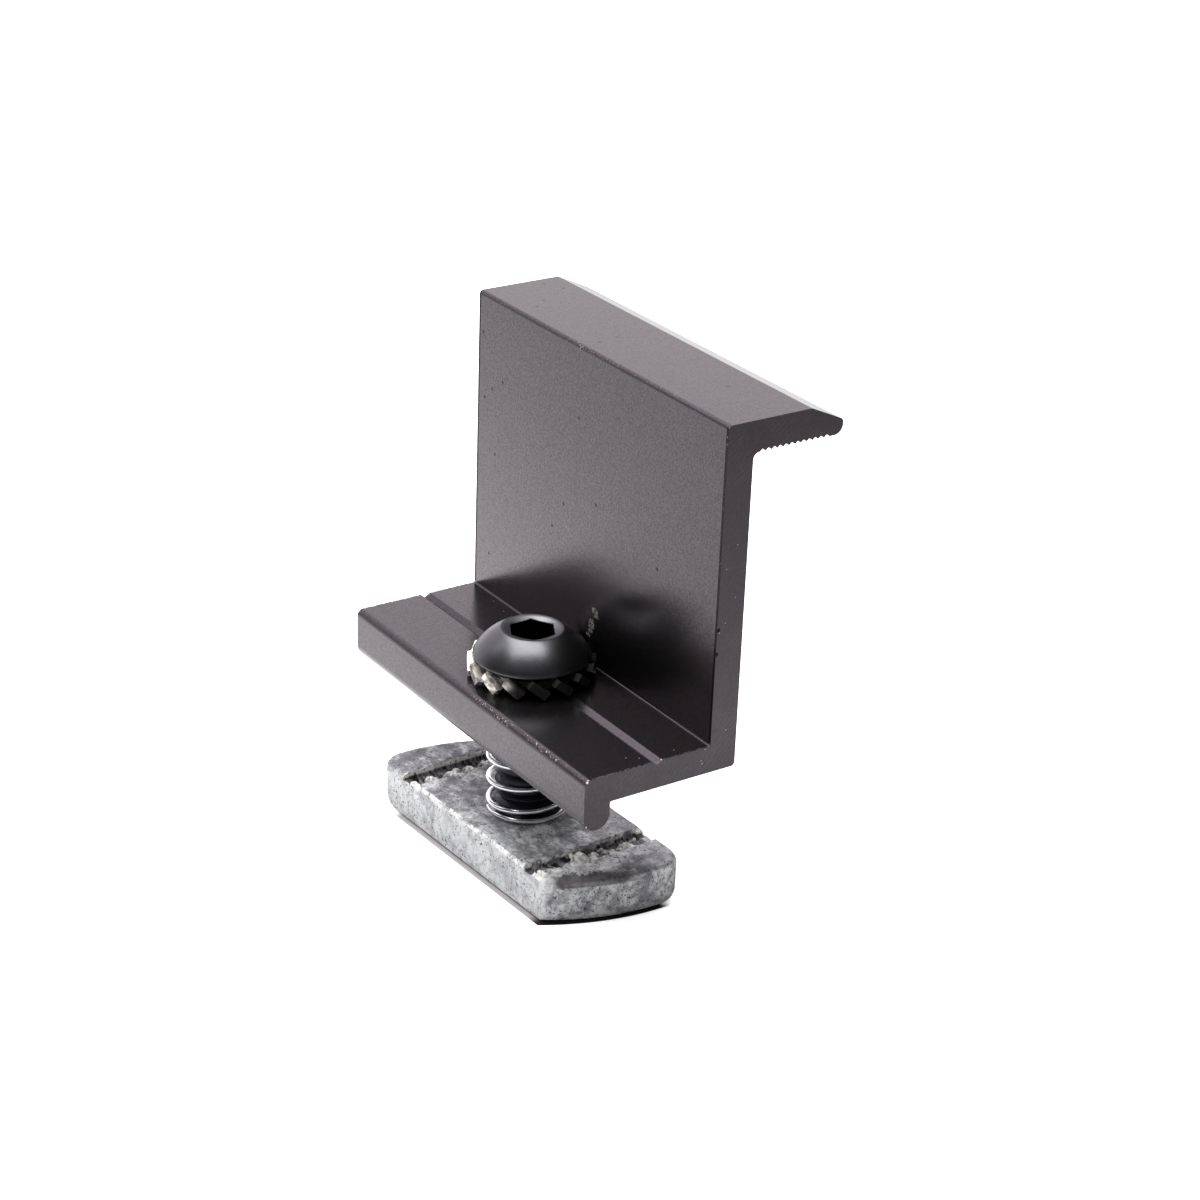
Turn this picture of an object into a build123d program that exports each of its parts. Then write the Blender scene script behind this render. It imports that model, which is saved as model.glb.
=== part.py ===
from build123d import *
from math import asin, cos, pi, radians, sin, sqrt, tan
import os

# Solar end clamp: a black extruded Z section held down by one button head screw, which runs through a
# toothed lock washer and a coil spring into a toothed channel nut. Millimetres, +Z up. The origin is
# on the screw's axis at the channel nut's bottom face, and the clamp grips towards +X.

# Clamp body: heights are measured from the top of its foot, and reaches from the screw's axis
clamp_length = 50.0
crown_height = 37.8
lip_height = 34.1
lip_reach = 22.9
web_inner = 7.5
web_thick = 3.5
foot_thick = 3.3
foot_reach = 9.0
heel_thick = 3.35
heel_depth = 6.4
nose_flat = 4.4
nose_drop = 2.0
nose_round = 1.1
edge_round = 0.5
foot_round = 0.8
root_round = 0.8
corner_round = 0.25
grip_pitch = 0.78
grip_depth = 0.3
grip_teeth = 12
guide_offset = 0.45
guide_width = 1.3
guide_depth = 0.45
clamp_hole_radius = 4.5

# Screw, M8 with a button head and a 5 mm hexagon socket
thread_radius = 3.95
screw_length = 25.0
tip_chamfer = 0.8
head_radius = 6.875
head_band = 0.32
head_rim_height = 3.39
rim_radius = 3.66
crown_radius = 7.95
dish_slope = 0.29
hex_width = 5.0
hex_turn = 1.35
hex_depth = 3.0
drill_angle = 118.0

# Lock washer with twisted teeth round its outside, widest at their shoulders and tapered to their tips
washer_hole_radius = 4.2
washer_radius = 7.45
washer_ring = 1.6
washer_sheet = 0.95
washer_teeth = 15
first_tooth_turn = 4.4
shoulder_radius = 6.75
tooth_root_share = 0.8
tooth_shoulder_share = 0.96
tooth_tip_share = 0.755
tooth_twist = 38.0

# Coil spring between the nut and the foot
spring_height = 14.1
spring_radius = 5.05
wire_radius = 0.325
spring_turns = 6.1
closed_turns = 0.83
ramp_turns = 0.25
closed_pitch = 0.7
spring_start = 160.0
bends_per_turn = 24
wire_sides = 8

# Channel nut: long sides straight, ends bowed, two opposite corners rounded so that it turns in its channel
nut_thick = 5.9
nut_width = 16.7
nut_turn = 2.4
end_radius = 25.0
end_shift = 6.0
end_reach = 19.8
nut_corner_round = 2.6
nut_base_round = 1.7
nut_rim_round = 0.7
nut_side_round = 0.35
groove_inner = 11.2
groove_outer = 14.5
groove_slope = 25.0
groove_lip = 0.3
tooth_depth = 1.25
tooth_pitch = 2.6
nut_tooth_count = 6
bore_chamfer = 0.5

# Clearances
thread_clearance = 0.05
seat_clearance = 0.05
tip_spare = 0.1

# Heights that stack up from the nut's bottom face
foot_bottom = nut_thick + spring_height
foot_top = foot_bottom + foot_thick
web_outer = web_inner + web_thick
tooth_rise = sin(radians(tooth_twist)) * 2 * pi * shoulder_radius / washer_teeth * tooth_shoulder_share
washer_height = tooth_rise + washer_sheet * cos(radians(tooth_twist))
washer_mid = foot_top + seat_clearance + washer_height / 2
head_bottom = foot_top + washer_height + 2 * seat_clearance
screw_tip = head_bottom - screw_length

# Clamp body: one extruded section with the grip teeth under its lip and the drill guide in its foot
outline = [
    (web_outer, foot_bottom, edge_round),
    (web_outer, foot_top + lip_height, root_round),
    (lip_reach, foot_top + lip_height, nose_round),
    (lip_reach, foot_top + crown_height - nose_drop, edge_round),
    (lip_reach - nose_flat, foot_top + crown_height, edge_round),
    (web_inner, foot_top + crown_height, edge_round),
    (web_inner, foot_top, corner_round),
    (-foot_reach, foot_top, foot_round),
    (-foot_reach, foot_top - heel_depth, heel_thick / 2 - 0.01),
    (heel_thick - foot_reach, foot_top - heel_depth, heel_thick / 2 - 0.01),
    (heel_thick - foot_reach, foot_bottom, corner_round),
]
with BuildPart() as clamp_body:
    with BuildSketch(Plane.XZ):
        with BuildLine():
            FilletPolyline(
                [(x, z) for x, z, round_radius in outline],
                radius=[round_radius for x, z, round_radius in outline],
                close=True,
            )
        make_face()
        first_tooth = web_outer + root_round + grip_pitch / 2
        with Locations([(first_tooth + n * grip_pitch, foot_top + lip_height) for n in range(grip_teeth)]):
            Polygon(
                (-grip_pitch / 2, -grip_depth / 10),
                (grip_pitch / 2, -grip_depth / 10),
                (0, grip_depth),
                align=None,
                mode=Mode.SUBTRACT,
            )
        with Locations((guide_offset, foot_top)):
            Polygon(
                (-guide_width / 2, 0),
                (0, -guide_depth),
                (guide_width / 2, 0),
                align=None,
                mode=Mode.SUBTRACT,
            )
    extrude(amount=clamp_length / 2, both=True)
    with BuildSketch(Plane.XY.offset(foot_bottom)):
        with Locations((guide_offset, 0)):
            Circle(clamp_hole_radius)
    extrude(amount=foot_thick, mode=Mode.SUBTRACT)
clamp_body.part.label = "clamp_body"

# Screw: head, shank and tip are turned in one piece, and the thread's ridges are left plain
rim_height = head_bottom + head_rim_height
with BuildPart() as socket_screw:
    with BuildSketch(Plane.XZ):
        with BuildLine():
            Polyline(
                (0, rim_height - rim_radius * dish_slope),
                (0, screw_tip),
                (thread_radius - tip_chamfer, screw_tip),
                (thread_radius, screw_tip + tip_chamfer),
                (thread_radius, head_bottom),
                (head_radius, head_bottom),
                (head_radius, head_bottom + head_band),
            )
            RadiusArc((head_radius, head_bottom + head_band), (rim_radius, rim_height), -crown_radius)
            Line((rim_radius, rim_height), (0, rim_height - rim_radius * dish_slope))
        make_face()
    revolve(axis=Axis.Z)
    with BuildSketch(Plane.XY.offset(rim_height)):
        RegularPolygon(hex_width / 2, 6, major_radius=False, rotation=hex_turn)
    extrude(amount=-hex_depth, mode=Mode.SUBTRACT)
    drill_depth = hex_width / 2 / tan(radians(drill_angle / 2))
    with Locations((0, 0, rim_height - hex_depth - drill_depth / 2)):
        Cone(0, hex_width / 2, drill_depth, mode=Mode.SUBTRACT)
socket_screw.part.label = "socket_screw"

# Lock washer: a flat ring whose teeth are flat blades, each turned about its own middle line at its root
tooth_step = 2 * pi / washer_teeth
root_radius = washer_hole_radius + washer_ring
blade_start = root_radius - washer_ring / 3
blade = [
    (blade_start, blade_start * tooth_step * tooth_root_share),
    (shoulder_radius, shoulder_radius * tooth_step * tooth_shoulder_share),
    (washer_radius + tip_spare, washer_radius * tooth_step * tooth_tip_share),
]
with BuildPart() as lock_washer:
    with BuildSketch(Plane.XY.offset(washer_mid - washer_sheet / 2)):
        Circle(root_radius)
        Circle(washer_hole_radius, mode=Mode.SUBTRACT)
    extrude(amount=washer_sheet)
    for n in range(washer_teeth):
        tooth_angle = radians(first_tooth_turn) + n * tooth_step
        outward = Vector(cos(tooth_angle), sin(tooth_angle), 0)
        along = Vector(-outward.Y, outward.X, 0)
        turned = along.rotate(Axis((0, 0, 0), outward), -tooth_twist)
        with BuildSketch(Plane(origin=(0, 0, washer_mid), x_dir=outward, z_dir=outward.cross(turned))):
            Polygon(
                *[(reach, width / 2) for reach, width in blade],
                *[(reach, -width / 2) for reach, width in reversed(blade)],
                align=None,
            )
        extrude(amount=washer_sheet / 2, both=True)
    with BuildSketch(Plane.XY.offset(foot_top)):
        Circle(washer_radius)
    extrude(amount=washer_height * 2, mode=Mode.INTERSECT)
lock_washer.part.label = "lock_washer"

# Spring: its pitch is small round each end, grows over a short ramp and is even between. The wire is
# eight-sided and bends in short straight runs.
coil_radius = spring_radius - wire_radius
spring_rise = spring_height - 2 * wire_radius - 2 * seat_clearance
end_rise = closed_turns * closed_pitch + ramp_turns * closed_pitch / 2
open_pitch = (spring_rise - 2 * end_rise) / (spring_turns - 2 * closed_turns - ramp_turns)


def coil_height(turn):
    """Height of the wire's centre above its lower end, after so many turns."""
    if turn > spring_turns / 2:
        return spring_rise - coil_height(spring_turns - turn)
    ramp = min(max(turn - closed_turns, 0), ramp_turns)
    steep = max(turn - closed_turns - ramp_turns, 0)
    ramp_pitch = closed_pitch + (open_pitch - closed_pitch) * ramp / ramp_turns / 2
    return min(turn, closed_turns) * closed_pitch + ramp * ramp_pitch + steep * open_pitch


coil_steps = round(spring_turns * bends_per_turn)
coil_points = []
for n in range(coil_steps + 1):
    turn = spring_turns * n / coil_steps
    angle = radians(spring_start + 360 * turn)
    wire_height = nut_thick + seat_clearance + wire_radius + coil_height(turn)
    coil_points.append((coil_radius * cos(angle), coil_radius * sin(angle), wire_height))
with BuildPart() as spring:
    with BuildLine():
        coil = Polyline(coil_points)
    with BuildSketch(Plane(origin=coil @ 0, z_dir=coil % 0)):
        RegularPolygon(wire_radius, wire_sides)
    sweep(path=coil, transition=Transition.RIGHT)
spring.part.label = "spring"

# Channel nut: its plan is stacked in layers, drawn in at the ends and sides where its edges are rounded
nut_plane = Plane(origin=(0, 0, 0), x_dir=(cos(radians(nut_turn)), sin(radians(nut_turn)), 0), z_dir=(0, 0, 1))
base_steps = 4
rim_steps = 3
layers = []
for n in range(base_steps + 1):
    drawn_in = 1 - sin(radians(90 * n / base_steps))
    rise = 1 - cos(radians(90 * n / base_steps))
    layers.append((nut_base_round * rise, nut_base_round * drawn_in, nut_side_round * drawn_in))
for n in range(rim_steps + 1):
    drawn_in = 1 - cos(radians(90 * n / rim_steps))
    drop = 1 - sin(radians(90 * n / rim_steps))
    layers.append((nut_thick - nut_rim_round * drop, nut_rim_round * drawn_in, nut_side_round * drawn_in))
with BuildPart() as channel_nut:
    for height, end_inset, side_inset in layers:
        half_width = nut_width / 2 - side_inset
        bow = end_radius - end_inset
        bow_centre = end_radius - end_reach
        sharp_end = bow_centre - sqrt(bow**2 - (half_width + end_shift) ** 2)
        round_end = bow_centre - sqrt(bow**2 - (half_width - end_shift) ** 2)
        with BuildSketch(nut_plane.offset(height)) as plan:
            with BuildLine():
                ThreePointArc((-half_width, sharp_end), (end_shift, bow_centre - bow), (half_width, round_end))
                Line((half_width, round_end), (half_width, -sharp_end))
                ThreePointArc((half_width, -sharp_end), (-end_shift, bow - bow_centre), (-half_width, -round_end))
                Line((-half_width, -round_end), (-half_width, sharp_end))
            make_face()
            rounded = plan.vertices().sort_by(lambda v: v.Y)
            fillet([rounded[0], rounded[-1]], nut_corner_round)
    loft(ruled=True)
    top_plane = nut_plane.offset(nut_thick)
    side_plane = Plane(origin=(0, 0, nut_thick), x_dir=nut_plane.y_dir, z_dir=nut_plane.x_dir)
    groove_width = groove_outer - groove_inner
    for end in (-1, 1):
        with BuildSketch(side_plane):
            slope = tooth_depth * tan(radians(groove_slope))
            Polygon(
                (end * groove_inner, 0),
                (end * groove_outer, 0),
                (end * (groove_outer - slope), -groove_lip),
                (end * groove_inner, -groove_lip),
                align=None,
            )
        extrude(amount=nut_width, both=True, mode=Mode.SUBTRACT)
        middle = end * (groove_inner + groove_outer - slope) / 2
        tooth_plane = Plane(
            origin=top_plane.from_local_coords((0, middle, 0)), x_dir=nut_plane.x_dir, z_dir=nut_plane.y_dir
        )
        with BuildSketch(tooth_plane):
            with Locations([((n - (nut_tooth_count - 1) / 2) * tooth_pitch, 0) for n in range(nut_tooth_count)]):
                Polygon(
                    (-tooth_pitch * 0.45, 0),
                    (tooth_pitch * 0.45, 0),
                    (tooth_pitch * 0.1, tooth_depth),
                    (-tooth_pitch * 0.25, tooth_depth),
                    align=None,
                )
        extrude(amount=(groove_width - slope) / 2, both=True, mode=Mode.SUBTRACT)
    with BuildSketch(Plane.XY):
        Circle(thread_radius + thread_clearance)
    extrude(amount=nut_thick, mode=Mode.SUBTRACT)
    mouths = channel_nut.edges().filter_by(GeomType.CIRCLE).filter_by(
        lambda e: abs(e.radius - thread_radius - thread_clearance) < 0.001
    )
    chamfer(mouths, bore_chamfer)
channel_nut.part.label = "channel_nut"

os.makedirs("parts", exist_ok=True)
export_step(clamp_body.part, "parts/clamp_body.step")
export_step(socket_screw.part, "parts/socket_screw.step")
export_step(lock_washer.part, "parts/lock_washer.step")
export_step(spring.part, "parts/spring.step")
export_step(channel_nut.part, "parts/channel_nut.step")
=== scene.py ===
from math import asin, atan2, cos, pi, radians, sin, sqrt, tan

import bmesh
import bpy
from mathutils import Matrix, Vector, noise


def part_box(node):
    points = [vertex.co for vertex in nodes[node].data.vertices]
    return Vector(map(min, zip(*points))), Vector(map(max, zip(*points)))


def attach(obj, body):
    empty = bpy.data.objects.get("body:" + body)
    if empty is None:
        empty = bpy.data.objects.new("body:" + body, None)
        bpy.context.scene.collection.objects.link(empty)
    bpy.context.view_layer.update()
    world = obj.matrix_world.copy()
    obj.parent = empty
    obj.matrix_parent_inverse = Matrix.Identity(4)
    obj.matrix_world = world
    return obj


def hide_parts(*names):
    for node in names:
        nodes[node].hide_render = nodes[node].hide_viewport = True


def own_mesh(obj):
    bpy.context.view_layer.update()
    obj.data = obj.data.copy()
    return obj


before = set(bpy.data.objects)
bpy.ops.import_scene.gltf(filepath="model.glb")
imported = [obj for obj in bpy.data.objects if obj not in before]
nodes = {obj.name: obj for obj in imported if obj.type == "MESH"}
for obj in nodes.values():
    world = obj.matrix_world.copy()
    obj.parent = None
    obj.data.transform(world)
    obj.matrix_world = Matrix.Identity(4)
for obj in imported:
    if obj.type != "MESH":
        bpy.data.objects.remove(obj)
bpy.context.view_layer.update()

# Whole object: a solar end clamp that stands on its channel nut. Lengths are in metres, and a noise's scale
# is one over its grain's width.
scene = bpy.context.scene
scene.view_settings.view_transform = "Standard"

# Camera: a long lens at the clamp's cut end, a little above it and to its left, as the picture was taken.
camera_azimuth = radians(-34.519)
camera_elevation = radians(24.817)
camera_roll = radians(2.22)
back = Vector(
    (
        sin(camera_azimuth) * cos(camera_elevation),
        -cos(camera_azimuth) * cos(camera_elevation),
        sin(camera_elevation),
    )
)
level_right = Vector((cos(camera_azimuth), sin(camera_azimuth), 0))
level_up = back.cross(level_right)
right = level_right * cos(camera_roll) + level_up * sin(camera_roll)
up = level_up * cos(camera_roll) - level_right * sin(camera_roll)
camera_data = bpy.data.cameras.new("camera")
camera_data.sensor_width = 36.0
camera_data.lens = 84.473
camera_data.clip_start = 0.01
camera_data.clip_end = 20.0
camera = bpy.data.objects.new("camera", camera_data)
camera.matrix_world = (
    Matrix.Translation((-0.15886, -0.24436, 0.16770)) @ Matrix((right, up, back)).transposed().to_4x4()
)
scene.collection.objects.link(camera)
scene.camera = camera


# Floor and surroundings: a white paper sheet under the clamp, in a room that is bright behind and to the left
# and dark towards the camera. The camera sees both white, and the sheet still darkens where the clamp shades
# it. In the metal's reflections the sheet's glow fades to the left, to the right and to the front.
def linear(colour):
    """Linear RGBA of an sRGB hex colour."""
    channels = [int(colour[n : n + 2], 16) / 255 for n in (1, 3, 5)]
    return [c / 12.92 if c <= 0.04045 else ((c + 0.055) / 1.055) ** 2.4 for c in channels] + [1.0]


def add(tree, kind, settings=None, links=None):
    """Adds one shader node, with its settings, its sockets' values and its incoming links."""
    node = tree.nodes.new(kind)
    for name, value in (settings or {}).items():
        if isinstance(name, int) or name in node.inputs:
            node.inputs[name].default_value = value
        else:
            setattr(node, name, value)
    for name, source in (links or {}).items():
        tree.links.new(source, node.inputs[name])
    return node


def nearest(tree, vector, points):
    """Distance to the nearest of some points."""
    found = None
    for point in points:
        settings = {"operation": "DISTANCE", 1: point}
        reach = add(tree, "ShaderNodeVectorMath", settings, {0: vector}).outputs["Value"]
        if found is not None:
            reach = add(tree, "ShaderNodeMath", {"operation": "MINIMUM"}, {0: found, 1: reach}).outputs[0]
        found = reach
    return found


sheet_mesh = bpy.data.meshes.new("paper_sheet")
sheet_form = bmesh.new()
bmesh.ops.create_grid(sheet_form, x_segments=1, y_segments=1, size=4.0)
sheet_form.to_mesh(sheet_mesh)
sheet_form.free()
sheet = bpy.data.objects.new("paper_sheet", sheet_mesh)
scene.collection.objects.link(sheet)
# White paper, matt: it takes a soft shade and mirrors nothing. Under the nut's near end and left side a
# painted shade is drawn on it, nearly black under the near end and grey along the left side, and there it
# doesn't glow.
paper = bpy.data.materials.new("white_paper")
paper.use_nodes = True
tree = paper.node_tree
tree.nodes.clear()
nut_turn = radians(2.4)
nut_end = 0.0195
bow_middle = 0.0063
bow_curve = 20.0
place = add(tree, "ShaderNodeTexCoord").outputs["Object"]
spot = add(tree, "ShaderNodeSeparateXYZ", {}, {0: place})
from_left = add(
    tree,
    "ShaderNodeMapRange",
    {"From Min": -0.042, "From Max": 0.0, "To Min": 0.52, "To Max": 1.84},
    {
        "Value": add(
            tree, "ShaderNodeVectorMath", {"operation": "DOT_PRODUCT", 1: (1.0, 0.2, 0.0)}, {0: place}
        ).outputs["Value"],
    },
).outputs[0]
from_left = add(
    tree,
    "ShaderNodeMath",
    {"operation": "MULTIPLY"},
    {
        0: from_left,
        1: add(
            tree,
            "ShaderNodeMapRange",
            {"interpolation_type": "SMOOTHSTEP", "From Min": 0.008, "From Max": 0.032, "To Min": 1.45},
            {"Value": nearest(tree, place, [(-0.038, 0.01, 0.0)])},
        ).outputs[0],
    },
).outputs[0]
from_front = add(
    tree,
    "ShaderNodeMapRange",
    {"interpolation_type": "SMOOTHSTEP", "From Min": -0.14, "From Max": 0.02, "To Min": 0.08},
    {"Value": spot.outputs["Y"]},
).outputs[0]
from_nut = add(
    tree,
    "ShaderNodeMapRange",
    {"interpolation_type": "SMOOTHSTEP", "From Min": 0.018, "From Max": 0.04},
    {"Value": nearest(tree, place, [(0, 0, 0)])},
).outputs[0]
from_right = add(
    tree,
    "ShaderNodeMapRange",
    {"interpolation_type": "SMOOTHSTEP", "From Min": 0.032, "From Max": 0.06, "To Min": 1.0, "To Max": 0.5},
    {
        "Value": add(
            tree, "ShaderNodeVectorMath", {"operation": "DOT_PRODUCT", 1: (0.9, 0.43, 0.0)}, {0: place}
        ).outputs["Value"],
    },
).outputs[0]
from_left = add(tree, "ShaderNodeMath", {"operation": "MULTIPLY"}, {0: from_left, 1: from_right}).outputs[0]
squared = add(tree, "ShaderNodeMapping", {"Rotation": (0.0, 0.0, -nut_turn)}, {"Vector": place}).outputs[0]
spot = add(tree, "ShaderNodeSeparateXYZ", {}, {0: squared})
bow = add(
    tree,
    "ShaderNodeMath",
    {"operation": "POWER", 1: 2.0},
    {
        0: add(
            tree, "ShaderNodeMath", {"operation": "SUBTRACT", 1: bow_middle}, {0: spot.outputs["X"]}
        ).outputs[0],
    },
).outputs[0]
bow_line = add(
    tree,
    "ShaderNodeMath",
    {"operation": "SUBTRACT", 1: nut_end},
    {0: add(tree, "ShaderNodeMath", {"operation": "MULTIPLY", 1: bow_curve}, {0: bow}).outputs[0]},
).outputs[0]
past_end = add(
    tree,
    "ShaderNodeMapRange",
    {"interpolation_type": "SMOOTHSTEP", "From Min": -0.0001, "From Max": 0.0001},
    {
        "Value": add(
            tree, "ShaderNodeMath", {"operation": "SUBTRACT"}, {0: bow_line, 1: spot.outputs["Y"]}
        ).outputs[0],
    },
).outputs[0]
past_side = add(
    tree,
    "ShaderNodeMapRange",
    {
        "interpolation_type": "SMOOTHSTEP",
        "From Min": -0.0089,
        "From Max": -0.0087,
        "To Min": 1.0,
        "To Max": 0.0,
    },
    {"Value": spot.outputs["X"]},
).outputs[0]
past_right = add(
    tree,
    "ShaderNodeMapRange",
    {"interpolation_type": "SMOOTHSTEP", "From Min": 0.0055, "From Max": 0.0072},
    {"Value": spot.outputs["X"]},
).outputs[0]
past_far = add(
    tree,
    "ShaderNodeMapRange",
    {"interpolation_type": "SMOOTHSTEP", "From Min": 0.0145, "From Max": 0.017},
    {"Value": spot.outputs["Y"]},
).outputs[0]
open_air = add(
    tree,
    "ShaderNodeMath",
    {"operation": "MAXIMUM"},
    {
        0: add(tree, "ShaderNodeMath", {"operation": "MAXIMUM"}, {0: past_end, 1: past_side}).outputs[0],
        1: add(tree, "ShaderNodeMath", {"operation": "MAXIMUM"}, {0: past_far, 1: past_right}).outputs[0],
    },
).outputs[0]
lit = add(
    tree,
    "ShaderNodeMath",
    {"operation": "MULTIPLY"},
    {
        0: add(tree, "ShaderNodeMath", {"operation": "MULTIPLY"}, {0: from_left, 1: from_front}).outputs[0],
        1: from_nut,
    },
).outputs[0]
rays = add(tree, "ShaderNodeLightPath")
mirrored = add(
    tree,
    "ShaderNodeMath",
    {"operation": "MAXIMUM"},
    {0: rays.outputs["Is Glossy Ray"], 1: rays.outputs["Is Transmission Ray"]},
).outputs[0]
seen = rays.outputs["Is Camera Ray"]
glow = add(
    tree,
    "ShaderNodeMath",
    {"operation": "ADD"},
    {
        0: add(tree, "ShaderNodeMath", {"operation": "MULTIPLY"}, {0: mirrored, 1: lit}).outputs[0],
        1: add(tree, "ShaderNodeMath", {"operation": "MULTIPLY", 1: 0.6}, {0: seen}).outputs[0],
    },
).outputs[0]
glow = add(tree, "ShaderNodeMath", {"operation": "MULTIPLY"}, {0: glow, 1: open_air}).outputs[0]
# Painted shade on the sheet at the nut's foot: dark under the near end, grey along the left side.
painted_shade = add(
    tree,
    "ShaderNodeMix",
    {"data_type": "RGBA", "A": linear("#2b2628"), "B": linear("#9a9596")},
    {
        "Factor": add(
            tree,
            "ShaderNodeMapRange",
            {"interpolation_type": "SMOOTHSTEP", "From Min": -0.0145, "From Max": -0.0125},
            {"Value": spot.outputs["Y"]},
        ).outputs[0],
    },
).outputs["Result"]
sheet_tone = add(
    tree,
    "ShaderNodeMix",
    {"data_type": "RGBA", "A": linear("#a8a8a8")},
    {
        "Factor": seen,
        "B": add(
            tree,
            "ShaderNodeMix",
            {"data_type": "RGBA", "B": linear("#f4f4f4")},
            {"Factor": open_air, "A": painted_shade},
        ).outputs["Result"],
    },
).outputs["Result"]
diffuse = add(tree, "ShaderNodeBsdfDiffuse", {}, {"Color": sheet_tone})
emission = add(tree, "ShaderNodeEmission", {}, {"Strength": glow})
both = add(tree, "ShaderNodeAddShader", {}, {0: diffuse.outputs[0], 1: emission.outputs[0]})
add(tree, "ShaderNodeOutputMaterial", {}, {"Surface": both.outputs[0]})
sheet_mesh.materials.append(paper)

world = bpy.data.worlds.new("studio")
scene.world = world
world.use_nodes = True
tree = world.node_tree
tree.nodes.clear()
direction = add(tree, "ShaderNodeTexCoord").outputs["Generated"]
mirrored_light = add(
    tree,
    "ShaderNodeMapRange",
    {"interpolation_type": "SMOOTHSTEP", "From Min": 0.35, "From Max": 0.85, "To Min": 0.12, "To Max": 1.52},
    {
        "Value": add(
            tree, "ShaderNodeVectorMath", {"operation": "DOT_PRODUCT", 1: (0.2, 0.98, 0.0)}, {0: direction}
        ).outputs["Value"],
    },
).outputs[0]
room_light = add(
    tree,
    "ShaderNodeMapRange",
    {"interpolation_type": "SMOOTHSTEP", "From Min": -0.4, "From Max": 0.6, "To Min": 0.27, "To Max": 1.55},
    {
        "Value": add(
            tree, "ShaderNodeVectorMath", {"operation": "DOT_PRODUCT", 1: (-0.8, 0.6, 0.0)}, {0: direction}
        ).outputs["Value"],
    },
).outputs[0]
rays = add(tree, "ShaderNodeLightPath")
seen = add(
    tree,
    "ShaderNodeMath",
    {"operation": "MAXIMUM"},
    {0: rays.outputs["Is Camera Ray"], 1: rays.outputs["Is Transmission Ray"]},
).outputs[0]
room = add(tree, "ShaderNodeBackground", {"Color": linear("#ffffff")}, {"Strength": room_light})
mirror = add(tree, "ShaderNodeBackground", {"Color": linear("#fff9fd")}, {"Strength": mirrored_light})
white = add(tree, "ShaderNodeBackground", {"Color": linear("#ffffff"), "Strength": 1.0})
in_mirror = rays.outputs["Is Glossy Ray"]
unseen = add(tree, "ShaderNodeMixShader", {}, {0: in_mirror, 1: room.outputs[0], 2: mirror.outputs[0]})
mixed = add(tree, "ShaderNodeMixShader", {}, {0: seen, 1: unseen.outputs[0], 2: white.outputs[0]})
add(tree, "ShaderNodeOutputWorld", {}, {"Surface": mixed.outputs[0]})

# Lamps: one wide soft box above and a smaller one high behind to the left.
for lamp_name, lamp_place, lamp_width, lamp_depth, lamp_power in (
    ("overhead_box", (-0.007, 0.078, 0.55), 0.52, 0.5, 6.1),
    ("left_box", (-0.3, 0.4, 0.47), 0.2, 0.2, 0.22),
):
    lamp_data = bpy.data.lights.new(lamp_name, "AREA")
    lamp_data.shape = "RECTANGLE"
    lamp_data.size = lamp_width
    lamp_data.size_y = lamp_depth
    lamp_data.energy = lamp_power
    lamp = bpy.data.objects.new(lamp_name, lamp_data)
    lamp_back = (Vector(lamp_place) - Vector((0, 0, 0.03))).normalized()
    lamp_right = (level_right - lamp_back * lamp_back.dot(level_right)).normalized()
    lamp_axes = Matrix((lamp_right, lamp_back.cross(lamp_right), lamp_back)).transposed()
    lamp.matrix_world = Matrix.Translation(lamp_place) @ lamp_axes.to_4x4()
    scene.collection.objects.link(lamp)


# Clamp body: one length of extruded aluminium, dyed black when it was anodised and then sawn off. The skin
# is satin with faint lines along the extrusion, a few specks, and two small bright marks on the web beside
# the screw. The sawn ends show the blade's curved marks, and the edges have small bare nicks.
clamp_low, clamp_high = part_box("clamp_body")
web_face = 0.0075
foot_top = 0.0233
crown_top = clamp_high.z
end_plane = clamp_high.y - 0.00005
cut_end = -0.025
guide_middle = 0.00045
guide_half = 0.0007
# Specks, dust and bright marks, in mm: Y and the height over the foot on the web, X and Y on lip and foot,
# and X and the height over the foot on the sawn end.
web_specks = [(24.0, 32.9), (19.5, 28.0), (21.8, 26.4), (23.4, 24.9), (3.1, 29.1), (20.9, 18.4)]
web_specks += [(5.7, 17.6), (-0.9, 19.9), (8.0, 14.0), (21.8, 5.1), (-13.4, 16.8)]
lip_specks = [(15.4, 23.3), (16.6, 21.0), (12.2, 18.4), (10.3, 16.8), (12.6, 3.6), (10.0, 3.1)]
lip_specks += [(14.5, -15.3)]
foot_dust = [(3.5, -23.7), (-2.1, -22.6), (-0.9, -23.4), (6.1, 15.9), (6.6, 19.0), (3.0, 9.0)]
end_dust = [(9.63, 23.8), (8.32, 21.2), (9.7, 17.6), (8.56, 14.8), (9.52, 1.5), (6.36, -1.52), (6.49, -1.9)]
end_dust += [(6.82, -0.2), (7.82, 13.75)]
web_bright_marks = [(-1.48, 6.95), (-1.6, 6.65), (-1.85, 6.25), (-0.95, 5.35), (-0.92, 4.95), (-0.88, 4.55)]
web_bright_marks += [(-0.75, 4.0), (-0.4, 3.4)]
mark_stretch = 0.4
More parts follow.
